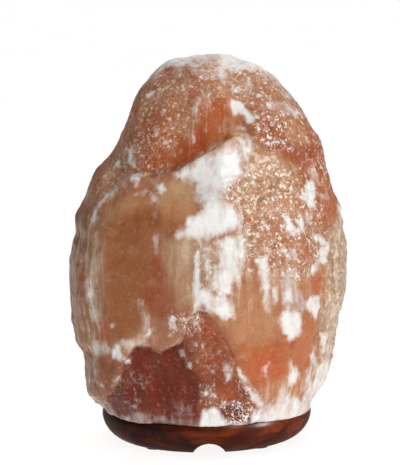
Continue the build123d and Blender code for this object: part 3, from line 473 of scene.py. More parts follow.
# (outline on the sheet, softness, strength)
WHITE = [
    ([(138, 86), (148, 60), (170, 46), (212, 42), (209, 60), (206, 63), (187, 64.5), (167, 68), (160, 72), (152, 78), (147, 82)], 2.6, 0.80),
    ([(215, 44), (262, 44), (294, 84), (287, 89), (278, 83), (268, 75), (254, 71), (232, 71), (219, 70), (217, 58)], 2.6, 0.86),
    ([(189, 62), (201, 62), (199, 70), (196, 73), (191, 70)], 2, 0.55),
    ([(198, 40), (224, 40), (224, 60), (212, 64), (200, 60)], 3, 0.55),
    ([(218, 66), (228, 66), (226, 76), (224, 86), (220, 85), (219, 76)], 2, 0.7),
    ([(229, 87), (233, 84.5), (238, 88), (237, 93), (232, 94.5)], 1.6, 0.9),
    ([(243, 79), (248, 76), (253, 78), (251, 86), (249, 92), (244.5, 88)], 2, 0.85),
    ([(282, 88), (294, 90), (296, 100), (286, 96)], 2, 0.6),
    ([(231.7, 99.3), (239.8, 100.6), (245.8, 105.3), (249, 110.6), (253.5, 118), (250.5, 123.4), (246.5, 120.7), (243.8, 115.3), (239, 112.6), (234, 116), (232.4, 112)], 1.3, 1.0),
    ([(236.5, 123), (240, 124), (245.5, 130.5), (240, 130)], 1.2, 0.9),
    ([(200, 98), (202, 102), (198, 112), (193, 115), (190, 110), (194, 103)], 2, 0.72),
    ([(198, 112), (196, 122), (192, 128), (191, 118)], 2.5, 0.32),
    ([(201, 82), (206, 84), (205, 95), (200, 96)], 3, 0.32),
    ([(267, 103), (280, 101), (292, 104), (303, 112), (304, 118), (297, 116), (287, 111), (276, 109), (268, 108)], 2, 0.62),
    ([(146, 95), (150, 93), (154, 92), (153, 95), (148, 98)], 1, 0.9),
    ([(159, 89), (163.5, 87.5), (163.5, 90), (159, 91)], 1, 0.75),
    ([(153, 115), (157, 116), (158, 126), (159, 137), (155, 136), (153, 128)], 1.5, 0.38),
    ([(161, 142), (165, 140), (168, 142), (164, 145.5), (161, 144.5)], 1, 0.75),
    ([(270, 117), (276, 117), (276, 124), (271, 125)], 1.5, 0.75),
    ([(127.5, 149), (130.5, 147), (132.5, 154), (132, 162), (136, 168), (131, 168), (128.5, 162)], 1.2, 0.85),
    ([(120, 150), (127, 146), (128, 168), (123, 172), (119, 164)], 3, 0.35),
    ([(115.5, 161), (119.8, 161.5), (119.6, 167.6), (116, 167.4)], 1, 0.8),
    ([(103.5, 176), (108, 174), (110.5, 179), (107, 183), (103.6, 180)], 1.5, 0.5),
    ([(90, 220), (92, 208), (97, 202.5), (102, 199), (108, 194), (113, 190), (118, 190), (113, 196), (107, 201), (102, 207), (97, 213), (94, 222)], 1.7, 0.75),
    ([(112, 190), (114, 184), (122, 179), (128, 173), (134, 174), (131, 180), (122, 186), (116, 192)], 2.5, 0.48),
    ([(131.6, 174.6), (139, 174), (138.8, 180), (132.6, 180)], 1.2, 0.85),
    ([(134.2, 181), (138.4, 181), (138, 187), (135, 187)], 1.2, 0.7),
    ([(138, 175), (162, 171.6), (175, 171), (175, 173), (162, 174.2), (139, 177.4)], 0.8, 0.6),
    ([(129.6, 196.5), (136, 191), (150, 188), (162, 185), (163, 189), (150, 192.6), (137, 196)], 1.6, 0.5),
    ([(155.6, 185), (162.5, 183.6), (164.5, 190), (159, 192.4), (155, 189)], 1.4, 0.9),
    ([(149.4, 191), (157, 192), (157, 200), (151, 204)], 2, 0.7),
    ([(152, 203), (156, 203), (156.6, 216), (153, 218)], 2, 0.35),
    ([(174.9, 175.6), (181, 170), (191, 163), (201, 156), (208, 152), (244, 152), (244.4, 170.5), (239.3, 180), (227, 187), (224.6, 199), (232.3, 205.6), (240, 215), (240, 227), (226.5, 231), (213.8, 237), (207, 241), (194.6, 240.5), (181.9, 238.5), (178, 234.3), (184.4, 224.7), (188.3, 220.3), (197, 214), (201, 206.2), (195, 192.2), (194, 184.5), (188.3, 178.6), (180.6, 179)], 2.6, 1.0),
    ([(204, 153), (210, 148), (241, 144), (246, 154), (240, 160), (206, 160)], 2.5, 0.62),
    ([(176, 171), (190, 162), (206, 152.5), (222, 144), (236, 136), (242, 138), (226, 146), (208, 156), (192, 166), (178, 174)], 1.0, 0.42),
    ([(240, 141), (246, 135), (253, 139), (253, 150), (247, 158), (240, 160)], 2.2, 0.85),
    ([(305.2, 183), (314.2, 182), (315.4, 196), (314.8, 207.4), (308.8, 206), (303.2, 201), (302.6, 194.7), (304.6, 189)], 1.2, 0.98),
    ([(310, 160), (314, 159), (319, 168), (322, 184), (315, 184), (311, 175)], 2, 0.42),
    ([(316, 193), (328, 193), (328, 200), (320, 201.5)], 2, 0.5),
    ([(334, 203), (348, 200), (350, 220), (339, 219)], 2, 0.65),
    ([(304, 212), (311, 212), (311.4, 225), (305, 225)], 1.3, 0.55),
    ([(285, 216.6), (289.8, 217.2), (294.7, 223.4), (297.3, 226.6), (296, 219), (300, 216.6), (304.2, 221), (301.4, 231), (296, 236.2), (289.4, 235), (286.6, 227.3)], 1.2, 1.0),
    ([(311.6, 234), (316, 235.4), (329.4, 243.6), (328.6, 247.4), (320, 244.4), (312.4, 238)], 1.1, 0.92),
    ([(321.6, 247), (329.4, 244.6), (331, 250), (323.4, 262.6), (317.6, 261.4), (318.6, 252)], 1.1, 0.97),
    ([(311.6, 263.6), (318.4, 263.4), (319, 268), (313.8, 277.6), (310.2, 274.4)], 1.3, 0.82),
    ([(194, 253), (198, 251), (199.4, 280), (198.4, 313), (193, 313), (193.2, 280)], 1.2, 0.85),
    ([(201, 245), (213, 244), (212, 268), (206, 278), (201.6, 268)], 2.6, 0.6),
    ([(217, 239), (241, 238), (244, 256), (242, 266), (239, 277), (233, 286), (230, 296), (216, 299), (215.4, 280), (218.6, 262)], 2.4, 1.0),
    ([(193, 291), (205, 288), (218, 292), (229, 298), (233, 307), (232, 319), (222, 317), (210, 313), (203, 304), (198, 311), (193, 309)], 2.2, 0.9),
    ([(303.6, 302), (311, 295.6), (321.4, 293.6), (322.6, 306), (325.6, 307.4), (320, 309.6), (316, 317.6), (312.6, 315.6), (309, 311), (304.6, 308.4)], 1.5, 0.86),
    ([(292, 284), (302, 290), (306, 303), (300, 316), (293, 313)], 3, 0.55),
    ([(257, 256), (269, 256), (270, 280), (269.6, 300), (268, 313), (263.6, 309), (262, 285), (259, 272)], 2.0, 0.72),
    ([(272, 289), (277.4, 288.4), (277.4, 301.6), (272.6, 302.4)], 1.5, 0.6),
    ([(280, 271), (290, 268), (297, 280), (296, 305), (283, 305), (281, 290)], 2.5, 0.72),
    ([(283, 286), (292.4, 286), (293, 302), (283.6, 302)], 1.8, 0.95),
    ([(281.4, 313), (290, 309), (298.6, 311), (301, 322), (299.6, 333.4), (294, 341), (287, 338), (281.8, 326)], 2.0, 0.94),
    ([(284, 300), (296, 300), (298, 314), (284, 316)], 2.5, 0.62),
    ([(288, 247), (297.6, 247), (298, 259.6), (289.6, 259)], 1.8, 0.62),
    ([(268, 248), (284, 248.6), (290.6, 256), (287.6, 257.6), (281.8, 251.8), (268, 250.8)], 0.9, 0.72),
    ([(82, 284), (86, 274), (92, 272), (97, 284), (98, 300), (101, 310), (100, 324), (91, 324), (88, 310), (84, 300)], 3, 0.46),
    ([(87, 285), (94, 283), (96, 296), (91, 300), (88, 296)], 2, 0.78),
    ([(91, 309), (96, 308), (97.4, 321), (91.6, 321)], 1.6, 0.62),
    ([(154, 233), (160, 233), (160.6, 255), (155, 257)], 2, 0.42),
    ([(138, 299), (144, 300), (145.6, 309), (152, 322), (154, 337), (146, 338), (140, 325), (136.6, 310)], 2.4, 0.40),
    ([(146, 328), (153.4, 328), (153.6, 337), (147, 338)], 1.2, 0.85),
    ([(138.8, 300), (144.2, 300), (144, 309.6), (139.4, 308.6)], 1.2, 0.5),
    ([(110.6, 323.6), (114.6, 323.6), (114.2, 328.6), (111, 328.4)], 1, 0.6),
    ([(111, 351), (112.4, 346.6), (118, 345.4), (121.6, 350), (125, 356), (130, 361), (124, 362), (118, 360.4), (112.4, 357)], 1.3, 0.97),
    ([(92, 341), (100, 342), (112, 346), (112, 356), (104, 354), (96, 357), (88, 350)], 3, 0.5),
    ([(117, 344), (126, 339), (138, 337), (146, 335), (149, 343), (136, 346.6), (130, 353), (124, 352)], 2.5, 0.58),
    ([(94.2, 353), (98, 353), (98.2, 373), (95, 373)], 1.5, 0.42),
    ([(86, 376.6), (94, 378.6), (104.4, 385.2), (107, 392), (102, 388.4), (93, 381.8), (86, 379.8)], 1, 0.62),
    ([(80, 386), (90, 394), (96, 398), (104, 402), (110, 405), (107, 416), (96, 414), (80, 404)], 2, 0.5),
    ([(113, 380), (120, 376), (121.4, 379), (116, 384.6), (112.6, 384.4)], 1.2, 0.5),
    ([(103, 403), (112, 410.6), (122, 415.4), (131, 417), (131, 428), (116, 424), (100, 416)], 1.6, 0.52),
    ([(131, 412), (140, 410.6), (150, 413.6), (162, 415.6), (172, 417.6), (186, 418.6), (201, 417), (206, 434), (170, 434), (131, 430)], 1.9, 0.38),
    ([(170, 412), (178, 403), (192, 401), (198, 412), (198, 424), (170, 423)], 3, 0.28),
    ([(197, 432), (200, 418), (205, 411.6), (211, 405.4), (216.4, 407.6), (219.6, 416), (223, 421), (228, 434)], 1.6, 1.0),
    ([(202, 408.6), (207.4, 408.6), (207, 412), (202.6, 412.4)], 1, 0.9),
    ([(203, 388), (208, 384), (214, 390), (216.4, 400), (212, 405), (204, 402), (202, 396)], 2, 0.36),
    ([(222.6, 401), (236, 400.2), (237, 403.8), (223, 404.8)], 1.2, 0.5),
    ([(224, 422.6), (250, 421), (252, 434), (226, 434)], 1.6, 0.66),
    ([(249, 417), (252.6, 412.6), (258, 411.6), (263, 416), (260, 434), (246, 434)], 1.5, 0.92),
    ([(254, 419), (262, 410.6), (270, 404.6), (277, 397.6), (281, 392.6), (285, 389.4), (288.4, 396), (297, 398), (301.6, 402), (305.2, 396), (305.6, 380), (308, 370), (311, 366.6), (313, 378), (316, 368), (324, 360), (338, 364), (326, 400), (312, 414), (300, 426), (283, 434), (254, 434)], 2.2, 0.78),
    ([(308.6, 356), (313, 352), (318, 357), (317, 367), (311, 365)], 1.5, 0.8),
    ([(238, 368.6), (241.4, 368.6), (243.6, 376), (247.4, 384), (252.4, 391), (256.6, 397), (263, 404.6), (258.6, 407), (250, 396.4), (242.8, 388.4), (238.8, 378)], 1.4, 0.7),
    ([(239.8, 373.6), (244.2, 373.4), (246.4, 382), (245.4, 387.8), (240.8, 382)], 1, 0.85),
    ([(245.8, 376.6), (248.2, 376.6), (253.4, 386), (256.6, 392.4), (254, 393.6), (248.8, 385)], 0.8, 0.5),
    ([(224.4, 366), (230, 362.4), (234.4, 368), (233.6, 377), (228, 380), (224.6, 376)], 2, 0.5),
    ([(225.8, 373.6), (231.8, 372.6), (232.4, 378), (227, 379.4)], 1, 0.85),
    ([(287.6, 364.4), (292, 360.4), (295.4, 366), (297.4, 371), (298, 380), (296.4, 383.8), (289.6, 384.8), (287.4, 380), (289.8, 372)], 1.6, 0.78),
    ([(262.6, 366), (268, 361.4), (270.6, 363.6), (266.4, 369), (266.4, 377.8), (263, 376.6)], 1.2, 0.55),
    ([(320.6, 333), (328.6, 333), (327.6, 353), (320.8, 353)], 1.5, 0.75),
    ([(336.6, 296), (350, 295), (350, 317), (337.6, 317)], 2.5, 0.45),
    ([(144.4, 376), (147.4, 376.6), (148, 386), (145, 387)], 1, 0.5),
    ([(136.8, 364.6), (139.8, 364.6), (139.4, 369), (137, 369)], 1, 0.42),
    ([(133.8, 392), (136.4, 392.6), (136.6, 399.6), (134, 399)], 1, 0.42),
    ([(132.6, 404.8), (137, 404.8), (136.4, 408), (132.8, 407.6)], 1, 0.5),
    # painted glints: the next three small white marks
    ([(169.8, 317.6), (174.4, 317.6), (174.4, 322.4), (170.2, 322.4)], 1, 0.75),
    ([(170.6, 324.6), (175.6, 324.6), (175.4, 329.6), (170.8, 329.4)], 1, 0.75),
    ([(190.6, 318), (197, 314.6), (201.6, 319), (199.4, 326.6), (194, 327.6)], 2, 0.42),
    ([(179.2, 350), (182.8, 350), (183.4, 356.6), (179.8, 356.6)], 1, 0.6),
    ([(186, 362), (190.2, 363), (190.4, 368.4), (186.8, 367.6)], 1.2, 0.5),
    ([(193.8, 343), (196.6, 343), (196.4, 345.8), (193.8, 345.6)], 0.9, 0.6),
    ([(202.8, 344), (205.6, 344), (205.4, 346.8), (202.8, 346.6)], 0.9, 0.6),
    ([(197, 359.6), (199.8, 359.6), (199.6, 362.4), (197.2, 362.4)], 0.9, 0.6),
    ([(211.6, 369.4), (215, 369), (215, 373), (211.8, 372.6)], 0.9, 0.55),
    ([(150.4, 345), (153.6, 349.2), (159.8, 350.8), (166, 347.4), (178, 342), (184.4, 338), (184.4, 340.2), (178, 344.6), (166, 350), (159.8, 353.4), (152.8, 351.4), (149.6, 347)], 0.8, 0.34),
]
PALE = [
    ([(223, 184), (248, 184), (250, 246), (232, 246), (240, 228), (240, 212), (228, 202)], 4, 0.75),
    ([(244, 182), (300, 176), (302, 216), (262, 228), (246, 214)], 8, 0.3),
    ([(196, 240), (262, 232), (262, 268), (244, 284), (196, 300)], 7, 0.5),
    ([(86, 222), (97, 218), (101, 344), (88, 344)], 5, 0.5),
    ([(324, 256), (334, 232), (350, 206), (350, 300), (334, 372), (318, 372), (326, 300)], 6, 0.6),
    ([(264, 262), (300, 262), (304, 314), (284, 314), (270, 290)], 7, 0.4),
    ([(140, 84), (200, 64), (204, 96), (170, 104), (144, 112)], 8, 0.3),
    ([(134, 336), (150, 320), (156, 336), (140, 346)], 4, 0.5),
    ([(160, 240), (196, 236), (196, 300), (184, 306), (166, 280)], 6, 0.35),
    ([(60, 356), (96, 356), (100, 384), (110, 404), (84, 404)], 4, 0.35),
    ([(264, 388), (300, 384), (306, 398), (270, 408)], 5, 0.5),
]
SPARKLE = [
    ([(138, 78), (165, 62), (226, 58), (226, 100), (202, 112), (182, 144), (160, 174), (126, 174), (128, 148), (134, 110)], 6, 0.42),
    ([(222, 62), (262, 66), (300, 100), (320, 130), (336, 190), (314, 178), (300, 150), (286, 112), (256, 106), (252, 112), (232, 98)], 5, 0.6),
    ([(253, 109), (288, 112), (292, 150), (268, 152), (253, 132)], 3, 1.0),
    ([(222, 182), (262, 166), (302, 168), (324, 205), (324, 262), (290, 276), (244, 270), (242, 235), (232, 205)], 6, 0.78),
    ([(224, 184), (252, 184), (252, 250), (241, 250), (238, 210)], 4, 1.0),
    ([(168, 314), (202, 312), (202, 332), (170, 334)], 3, 0.95),
    ([(219, 399), (252, 402), (252, 424), (220, 424)], 3, 1.0),
    ([(184, 330), (205, 312), (238, 360), (240, 384), (214, 388), (192, 362)], 4, 0.16),
    ([(202, 384), (214, 384), (220, 404), (202, 404)], 3, 0.75),
    ([(236, 366), (262, 400), (252, 408), (238, 388)], 3, 0.7),
    ([(86, 200), (112, 158), (128, 148), (132, 172), (100, 196)], 4, 0.4),
    ([(280, 262), (312, 260), (314, 280), (282, 280)], 4, 0.9),
    ([(196, 244), (214, 242), (214, 290), (196, 290)], 4, 0.5),
    ([(326, 236), (352, 206), (350, 300), (330, 372), (318, 372)], 4, 0.45),
    ([(100, 384), (128, 360), (150, 380), (140, 410), (104, 410)], 5, 0.14),
]
FIBRE = [
    ([(190, 100), (231, 98), (231, 146), (206, 150), (178, 172)], 5, 0.5),
    ([(322, 256), (334, 232), (352, 206), (350, 330), (328, 378), (310, 376), (320, 300)], 6, 1.0),
    ([(66, 225), (98, 212), (102, 330), (76, 345)], 8, 0.55),
    ([(180, 236), (300, 240), (300, 320), (190, 320)], 12, 0.5),
    ([(264, 386), (306, 376), (312, 410), (262, 418)], 5, 0.6),
]


def stamped(px, py, marks, ragged=0.0, spread=1.0):
    """Strength of the marks at each point; ragged moves their outlines in and out."""
    out = np.zeros(px.shape)
    ragged = np.broadcast_to(ragged, px.shape)
    for ring, soft, strength in marks:
        soft = 0.9 + 1.5 * soft + 0.34 * soft * soft if soft < 3 else soft * 1.8
        (x0, y0), (x1, y1) = np.min(ring, axis=0), np.max(ring, axis=0)
        m = soft * spread + 8
        at = np.flatnonzero((px > x0 - m) & (px < x1 + m) & (py > y0 - m) & (py < y1 + m))
        d = area_distance(px[at], py[at], ring) + ragged[at] * min(1.0, 0.3 + 0.16 * soft)
        out[at] = np.maximum(out[at], strength * smooth(-soft * spread, soft * spread, d))
    return out


def painted(colour, px, py, marks, ragged):
    """Lays the marks' colours one over the other."""
    for name, ring, soft, strength in marks:
        f = stamped(px, py, [(ring, soft, strength)], ragged)[:, None]
        colour = colour * (1 - f) + np.array(PALETTE[name]) * f
    return colour


def crystal_marks(me):
    co = np.zeros(len(me.vertices) * 3, np.float32)
    me.vertices.foreach_get("co", co)
    p = co.reshape(-1, 3).astype(float) * 1000
    n = p - CENTRE
    n /= np.linalg.norm(n, axis=1)[:, None]
    px, py = to_sheet(p)
    wx = noise(p, 7.0, 3, shift=2.1) * 2.4 + noise(p, 2.6, 2, 0.6, shift=41.0) * 1.1
    wy = noise(p, 7.0, 3, shift=5.2) * 2.4 + noise(p, 2.6, 2, 0.6, shift=47.0) * 1.1
    qx, qy = px + wx, py + wy
    thread = p * np.array((1.0, 1.0, 0.22))
    ragged = noise(thread, 3.4, 3, 0.6, shift=6.6) * 4.5 + noise(p, 2.6, 2, 0.7, shift=9.4) * 2.5
    cloud = 0.90 + 0.26 * noise(p * np.array((1.0, 1.0, 0.4)), 6.0, 3, 0.6, shift=31.0) + 0.16 * noise(thread, 2.6, 2, 0.6, shift=61.0)
    front = smooth(-0.42, -0.17, -n[:, 1] + 0.14 * noise(p, 22.0, 3, shift=51.0))
    upright = p * np.array((1.0, 1.0, 0.28))
    # away from the front the same kinds of marks, placed by noise
    w = smooth(0.15, 0.46, noise(upright, 26.0, 4, shift=8.8) + 0.5 * noise(p, 9.0, 2, shift=4.4) + 0.25 * smooth(170, 232, p[:, 2])
               + 0.22 * (1 - smooth(22, 40, p[:, 2])))
    a = smooth(0.10, 0.55, noise(upright, 40.0, 3, shift=14.9))
    g = smooth(0.0, 0.5, noise(p, 34.0, 2, shift=17.3))
    k = smooth(0.18, 0.34, noise(p, 52.0, 3, shift=21.0)) * (1 - smooth(90, 140, p[:, 2]))
    f = smooth(-0.1, 0.5, noise(p, 50.0, 2, shift=23.0))
    mix = lambda here, there: front * here + (1 - front) * there
    blend = lambda one, two, t: one * (1 - t[:, None]) + np.array(PALETTE[two]) * t[:, None]
    there = blend(np.tile(PALETTE["salmon"], (len(p), 1)), "clay", smooth(-0.3, 0.3, noise(p, 62.0, 3, shift=3.1)))
    there = blend(there, "orange", smooth(-0.05, 0.30, noise(p, 46.0, 3, shift=11.1)))
    there = blend(there, "tan", smooth(0.0, 0.45, noise(upright, 44.0, 3, shift=13.7)))
    there = blend(there, "rust", smooth(0.05, 0.32, noise(p, 38.0, 3, shift=19.5)))
    there = blend(there, "russet", 0.9 * smooth(0.20, 0.42, noise(p, 30.0, 3, shift=28.1)))
    there = blend(there, "sand", 0.8 * smooth(0.2, 0.5, noise(upright, 30.0, 3, shift=25.9)))
    there = blend(there, "cocoa", 0.6 * k)
    # Sides: the left flank painted darker olive as shade; the right flank paler sand with fibres, partly painted light.
    flank = smooth(0.50, 0.80, np.abs(n[:, 0])) * smooth(-0.25, 0.15, noise(upright, 30.0, 3, shift=37.2)) * (1 - smooth(150, 185, p[:, 2]))
    there = np.where((n[:, 0] > 0)[:, None], blend(there, "sand", 0.9 * flank), blend(there, "olive", 0.8 * flank))
    f = np.maximum(f, flank)
    here = painted(blend(there, "clay", np.full(len(p), 0.8)), qx, qy, TINT, ragged * (0.5 + 0.9 * smooth(0.6, 0.85, np.abs(n[:, 0]))))
    # painted shade: the hollow's faces take the dark wine and russet colours
    dark_l = smooth(-1.2, 1.4, area_distance(px + wx * 0.5, py + wy * 0.5, DARK_LEFT))
    dark_r = smooth(-1.2, 1.4, area_distance(px + wx * 0.5, py + wy * 0.5, DARK_RIGHT)) * (1 - dark_l)
    glit = smooth(-2.0, 3.0, area_distance(qx, qy, DARK_GLITTER))
    hollow_veins_and_shade = painted(blend(np.tile(PALETTE["russet"], (len(p), 1)), "wine", dark_l), qx, qy, DARK_VEINS_AND_SHADE, ragged)
    hollow_veins_and_shade = blend(hollow_veins_and_shade, "cocoa", glit) * (1 + 0.30 * noise(thread, 11.0, 3, 0.6, shift=35.0))[:, None]
    inner = np.maximum(dark_l, dark_r)[:, None]
    here = here * (1 - inner) + hollow_veins_and_shade * inner
    colour = here * front[:, None] + there * (1 - front)[:, None]
    inside = (np.hypot(p[:, 0], p[:, 1]) < 26.3) & (p[:, 2] < 138.5)
    colour[inside] = PALETTE["orange"]
    colour = np.where(colour <= 0.04045, colour / 12.92, ((colour + 0.055) / 1.055) ** 2.4)
    att = me.attributes.new("tint", "FLOAT_COLOR", "POINT")
    att.data.foreach_set("color", np.c_[colour, np.ones(len(p))].astype(np.float32).ravel())
    fields = {
        "crust": mix(np.maximum(stamped(qx, qy, WHITE, ragged, 1.15) * cloud, 0.38 * stamped(qx, qy, WHITE, ragged, 3.4)), w * 0.9),
        "pale": mix(stamped(qx, qy, PALE, ragged, 1.3), a * 0.7),
        "sparkle": mix(stamped(px, py, SPARKLE), g * 0.8),
        "fibre": mix(stamped(px, py, FIBRE), f * 0.8),
    }
    for name, values in fields.items():
        values = np.where(inside, 0.0, values)
        att = me.attributes.new(name, "FLOAT", "POINT")
        att.data.foreach_set("value", values.astype(np.float32))


# ---------------------------------------------------------------- material helpers
class Graph:
    def __init__(self, name):
        self.mat = bpy.data.materials.new(name)
        self.mat.use_nodes = True
        self.t = self.mat.node_tree
        self.bsdf = self.t.nodes["Principled BSDF"]

    def node(self, kind, **props):
        n = self.t.nodes.new(kind)
        for k, v in props.items():
            setattr(n, k, v)
        return n

    def link(self, a, b):
        self.t.links.new(a, b)

    def put(self, socket, value):
        if isinstance(value, bpy.types.NodeSocket):
            self.link(value, socket)
        else:
            socket.default_value = value

    def coords(self, scale=(1, 1, 1)):
        tc = self.node("ShaderNodeTexCoord")
        mp = self.node("ShaderNodeMapping")
        mp.inputs["Scale"].default_value = scale
        self.link(tc.outputs["Object"], mp.inputs["Vector"])
        return mp.outputs["Vector"]

    def noise(self, vec, scale, detail=4.0, rough=0.55, distortion=0.0):
        n = self.node("ShaderNodeTexNoise")
        self.link(vec, n.inputs["Vector"])
        n.inputs["Scale"].default_value = scale
        n.inputs["Detail"].default_value = detail
        n.inputs["Roughness"].default_value = rough
        n.inputs["Distortion"].default_value = distortion
        return n.outputs["Fac"]

    def voronoi(self, vec, scale, feature="F1", out="Distance"):
        n = self.node("ShaderNodeTexVoronoi", feature=feature)
        self.link(vec, n.inputs["Vector"])
        n.inputs["Scale"].default_value = scale
        return n.outputs[out]

    def math(self, op, a, b=0.0, c=None, clamp=False):
        n = self.node("ShaderNodeMath", operation=op, use_clamp=clamp)
        self.put(n.inputs[0], a)
        self.put(n.inputs[1], b)
        if c is not None:
            self.put(n.inputs[2], c)
        return n.outputs[0]

    def ramp(self, fac, lo, hi, to_lo=0.0, to_hi=1.0):
        n = self.node("ShaderNodeMapRange", interpolation_type="SMOOTHSTEP")
        self.put(n.inputs["Value"], fac)
        n.inputs["From Min"].default_value, n.inputs["From Max"].default_value = lo, hi
        n.inputs["To Min"].default_value, n.inputs["To Max"].default_value = to_lo, to_hi
        return n.outputs["Result"]

    def mix(self, fac, a, b, blend="MIX"):
        n = self.node("ShaderNodeMix", data_type="RGBA", blend_type=blend)
        self.put(n.inputs[0], fac)
        self.put(n.inputs[6], a)
        self.put(n.inputs[7], b)
        return n.outputs[2]

    def colors(self, fac, stops):
        n = self.node("ShaderNodeValToRGB")
        self.put(n.inputs["Fac"], fac)
        e = n.color_ramp.elements
        while len(e) < len(stops):
            e.new(0.5)
        for el, (pos, col) in zip(e, stops):
            el.position, el.color = pos, (*col, 1)
        return n.outputs["Color"]

    def attr(self, name):
        return self.node("ShaderNodeAttribute", attribute_name=name).outputs["Fac"]

    def bump(self, height, strength, distance, normal=None):
        n = self.node("ShaderNodeBump")
        self.put(n.inputs["Height"], height)
        n.inputs["Strength"].default_value = strength
        n.inputs["Distance"].default_value = distance
        if normal is not None:
            self.link(normal, n.inputs["Normal"])
        return n.outputs["Normal"]

    def finish(self, **values):
        for k, v in values.items():
            self.put(self.bsdf.inputs[k.replace("_", " ")], v)
        return self.mat


def srgb(r, g, b):
    f = lambda c: c / 12.92 if c <= 0.04045 else ((c + 0.055) / 1.055) ** 2.4
    return (f(r), f(g), f(b), 1.0)


def salt_material():
    g = Graph("rock_salt")
    v = g.coords()
    up = g.coords((1, 1, 0.14))
    tint = g.node("ShaderNodeAttribute", attribute_name="tint").outputs["Color"]
    crust, pale, sparkle, fibre = g.attr("crust"), g.attr("pale"), g.attr("sparkle"), g.attr("fibre")
    add = lambda a, b: g.math("ADD", a, b)
    mul = lambda a, b: g.math("MULTIPLY", a, b)
    mid = g.noise(v, 90, 5, 0.62)
    fine = g.noise(v, 330, 4, 0.66)
    grit = g.noise(v, 900, 2, 0.6)
    streak = g.noise(up, 210, 4, 0.62)
    wide = g.noise(up, 60, 4, 0.58)
    # cloudy depth
    body = g.mix(g.ramp(wide, 0.52, 0.36, 0.0, 0.55), tint, srgb(0.91, 0.80, 0.74), "MULTIPLY")
    luma = g.node("ShaderNodeRGBToBW")
    g.link(tint, luma.inputs[0])
    light = g.ramp(luma.outputs[0], 0.06, 0.20, 0.15, 1.0)
    body = g.mix(mul(g.ramp(mid, 0.50, 0.68, 0.0, 0.20), light), body, srgb(0.83, 0.69, 0.57))
    pale_f = g.math("MULTIPLY", pale, g.ramp(streak, 0.42, 0.60), clamp=True)
    body = g.mix(mul(pale_f, 0.75), body, srgb(0.87, 0.77, 0.67))
    fib = g.math("MULTIPLY", fibre, g.ramp(streak, 0.52, 0.62), clamp=True)
    body = g.mix(mul(fib, 0.6), body, srgb(0.86, 0.79, 0.72))
    fib_dark = g.math("MULTIPLY", fibre, g.ramp(streak, 0.46, 0.36), clamp=True)
    body = g.mix(mul(fib_dark, 0.4), body, srgb(0.66, 0.42, 0.28))
    # dark pits and pale flecks where the surface is broken; the pale curls and flecks are partly pale crystal, partly
    # painted glints
    tone = add(mul(fine, 0.6), mul(grit, 0.4))
    body = g.mix(mul(g.ramp(tone, 0.51, 0.39), add(mul(sparkle, 0.32), 0.14)), body, srgb(0.68, 0.48, 0.38), "MULTIPLY")
    line = g.math("ABSOLUTE", g.math("SUBTRACT", g.noise(v, 260, 3, 0.6, 0.8), 0.5))
    curl = g.math("MULTIPLY", g.ramp(line, 0.030, 0.006), g.ramp(mid, 0.42, 0.54), clamp=True)
    body = g.mix(mul(curl, mul(sparkle, 0.95)), body, srgb(0.90, 0.81, 0.73))
    fleck = g.ramp(tone, 0.545, 0.64)
    body = g.mix(mul(fleck, add(mul(sparkle, 0.90), 0.12)), body, srgb(0.92, 0.84, 0.77))
    # white crust, its edge broken up at three sizes
    tri = add(add(mul(mid, 0.35), mul(streak, 0.30)), mul(tone, 0.35))
    edge = add(crust, mul(g.math("SUBTRACT", tri, 0.5), 1.35))
    crust_f = g.math("MULTIPLY", g.ramp(edge, 0.04, 1.0), g.ramp(crust, 0.02, 0.30), clamp=True)
    white = g.colors(add(mul(mid, 0.6), mul(streak, 0.4)), [
        (0.34, srgb(0.89, 0.86, 0.825)[:3]), (0.50, srgb(0.96, 0.95, 0.935)[:3])])
    body = g.mix(crust_f, body, white)
    # painted glints: near-white specks laid into the base colour where the surface is broken
    cell = g.voronoi(v, 620, out="Color")
    painted_glint = g.math("MULTIPLY", mul(g.ramp(cell, 0.64, 0.74), g.ramp(fine, 0.48, 0.55)), sparkle, clamp=True)
    body = g.mix(mul(painted_glint, 0.95), body, srgb(0.99, 0.97, 0.94))
    rough = add(g.ramp(fine, 0.35, 0.65, 0.28, 0.42), mul(crust_f, 0.25))
    rough = g.math("SUBTRACT", rough, mul(sparkle, 0.16), clamp=True)
    edge_on = g.node("ShaderNodeLayerWeight")
    edge_on.inputs["Blend"].default_value = 0.5
    gloss = mul(g.ramp(edge_on.outputs["Facing"], 0.92, 0.25), add(0.28, mul(sparkle, 0.60)))
    lumps = g.noise(v, 300, 1.5, 0.5, 0.6)
    shells = g.voronoi(v, 260, "SMOOTH_F1")
    h = add(mul(lumps, 1.2), mul(shells, 0.5))
    nrm = g.bump(mul(h, add(mul(sparkle, 1.0), 0.06)), 1.0, 0.0011)
    nrm = g.bump(mul(streak, add(mul(fibre, 1.0), 0.06)), 0.8, 0.0012, nrm)
    nrm = g.bump(mul(crust_f, add(tone, 0.4)), 0.5, 0.0005, nrm)
    return g.finish(Base_Color=body, Roughness=rough, Normal=nrm, IOR=1.54, Specular_IOR_Level=0.03, Subsurface_Weight=0.15,
                    Subsurface_Radius=(1.0, 0.45, 0.25), Subsurface_Scale=0.0018, Coat_Weight=gloss, Coat_Roughness=0.16,
                    Coat_IOR=1.5, Coat_Normal=nrm)


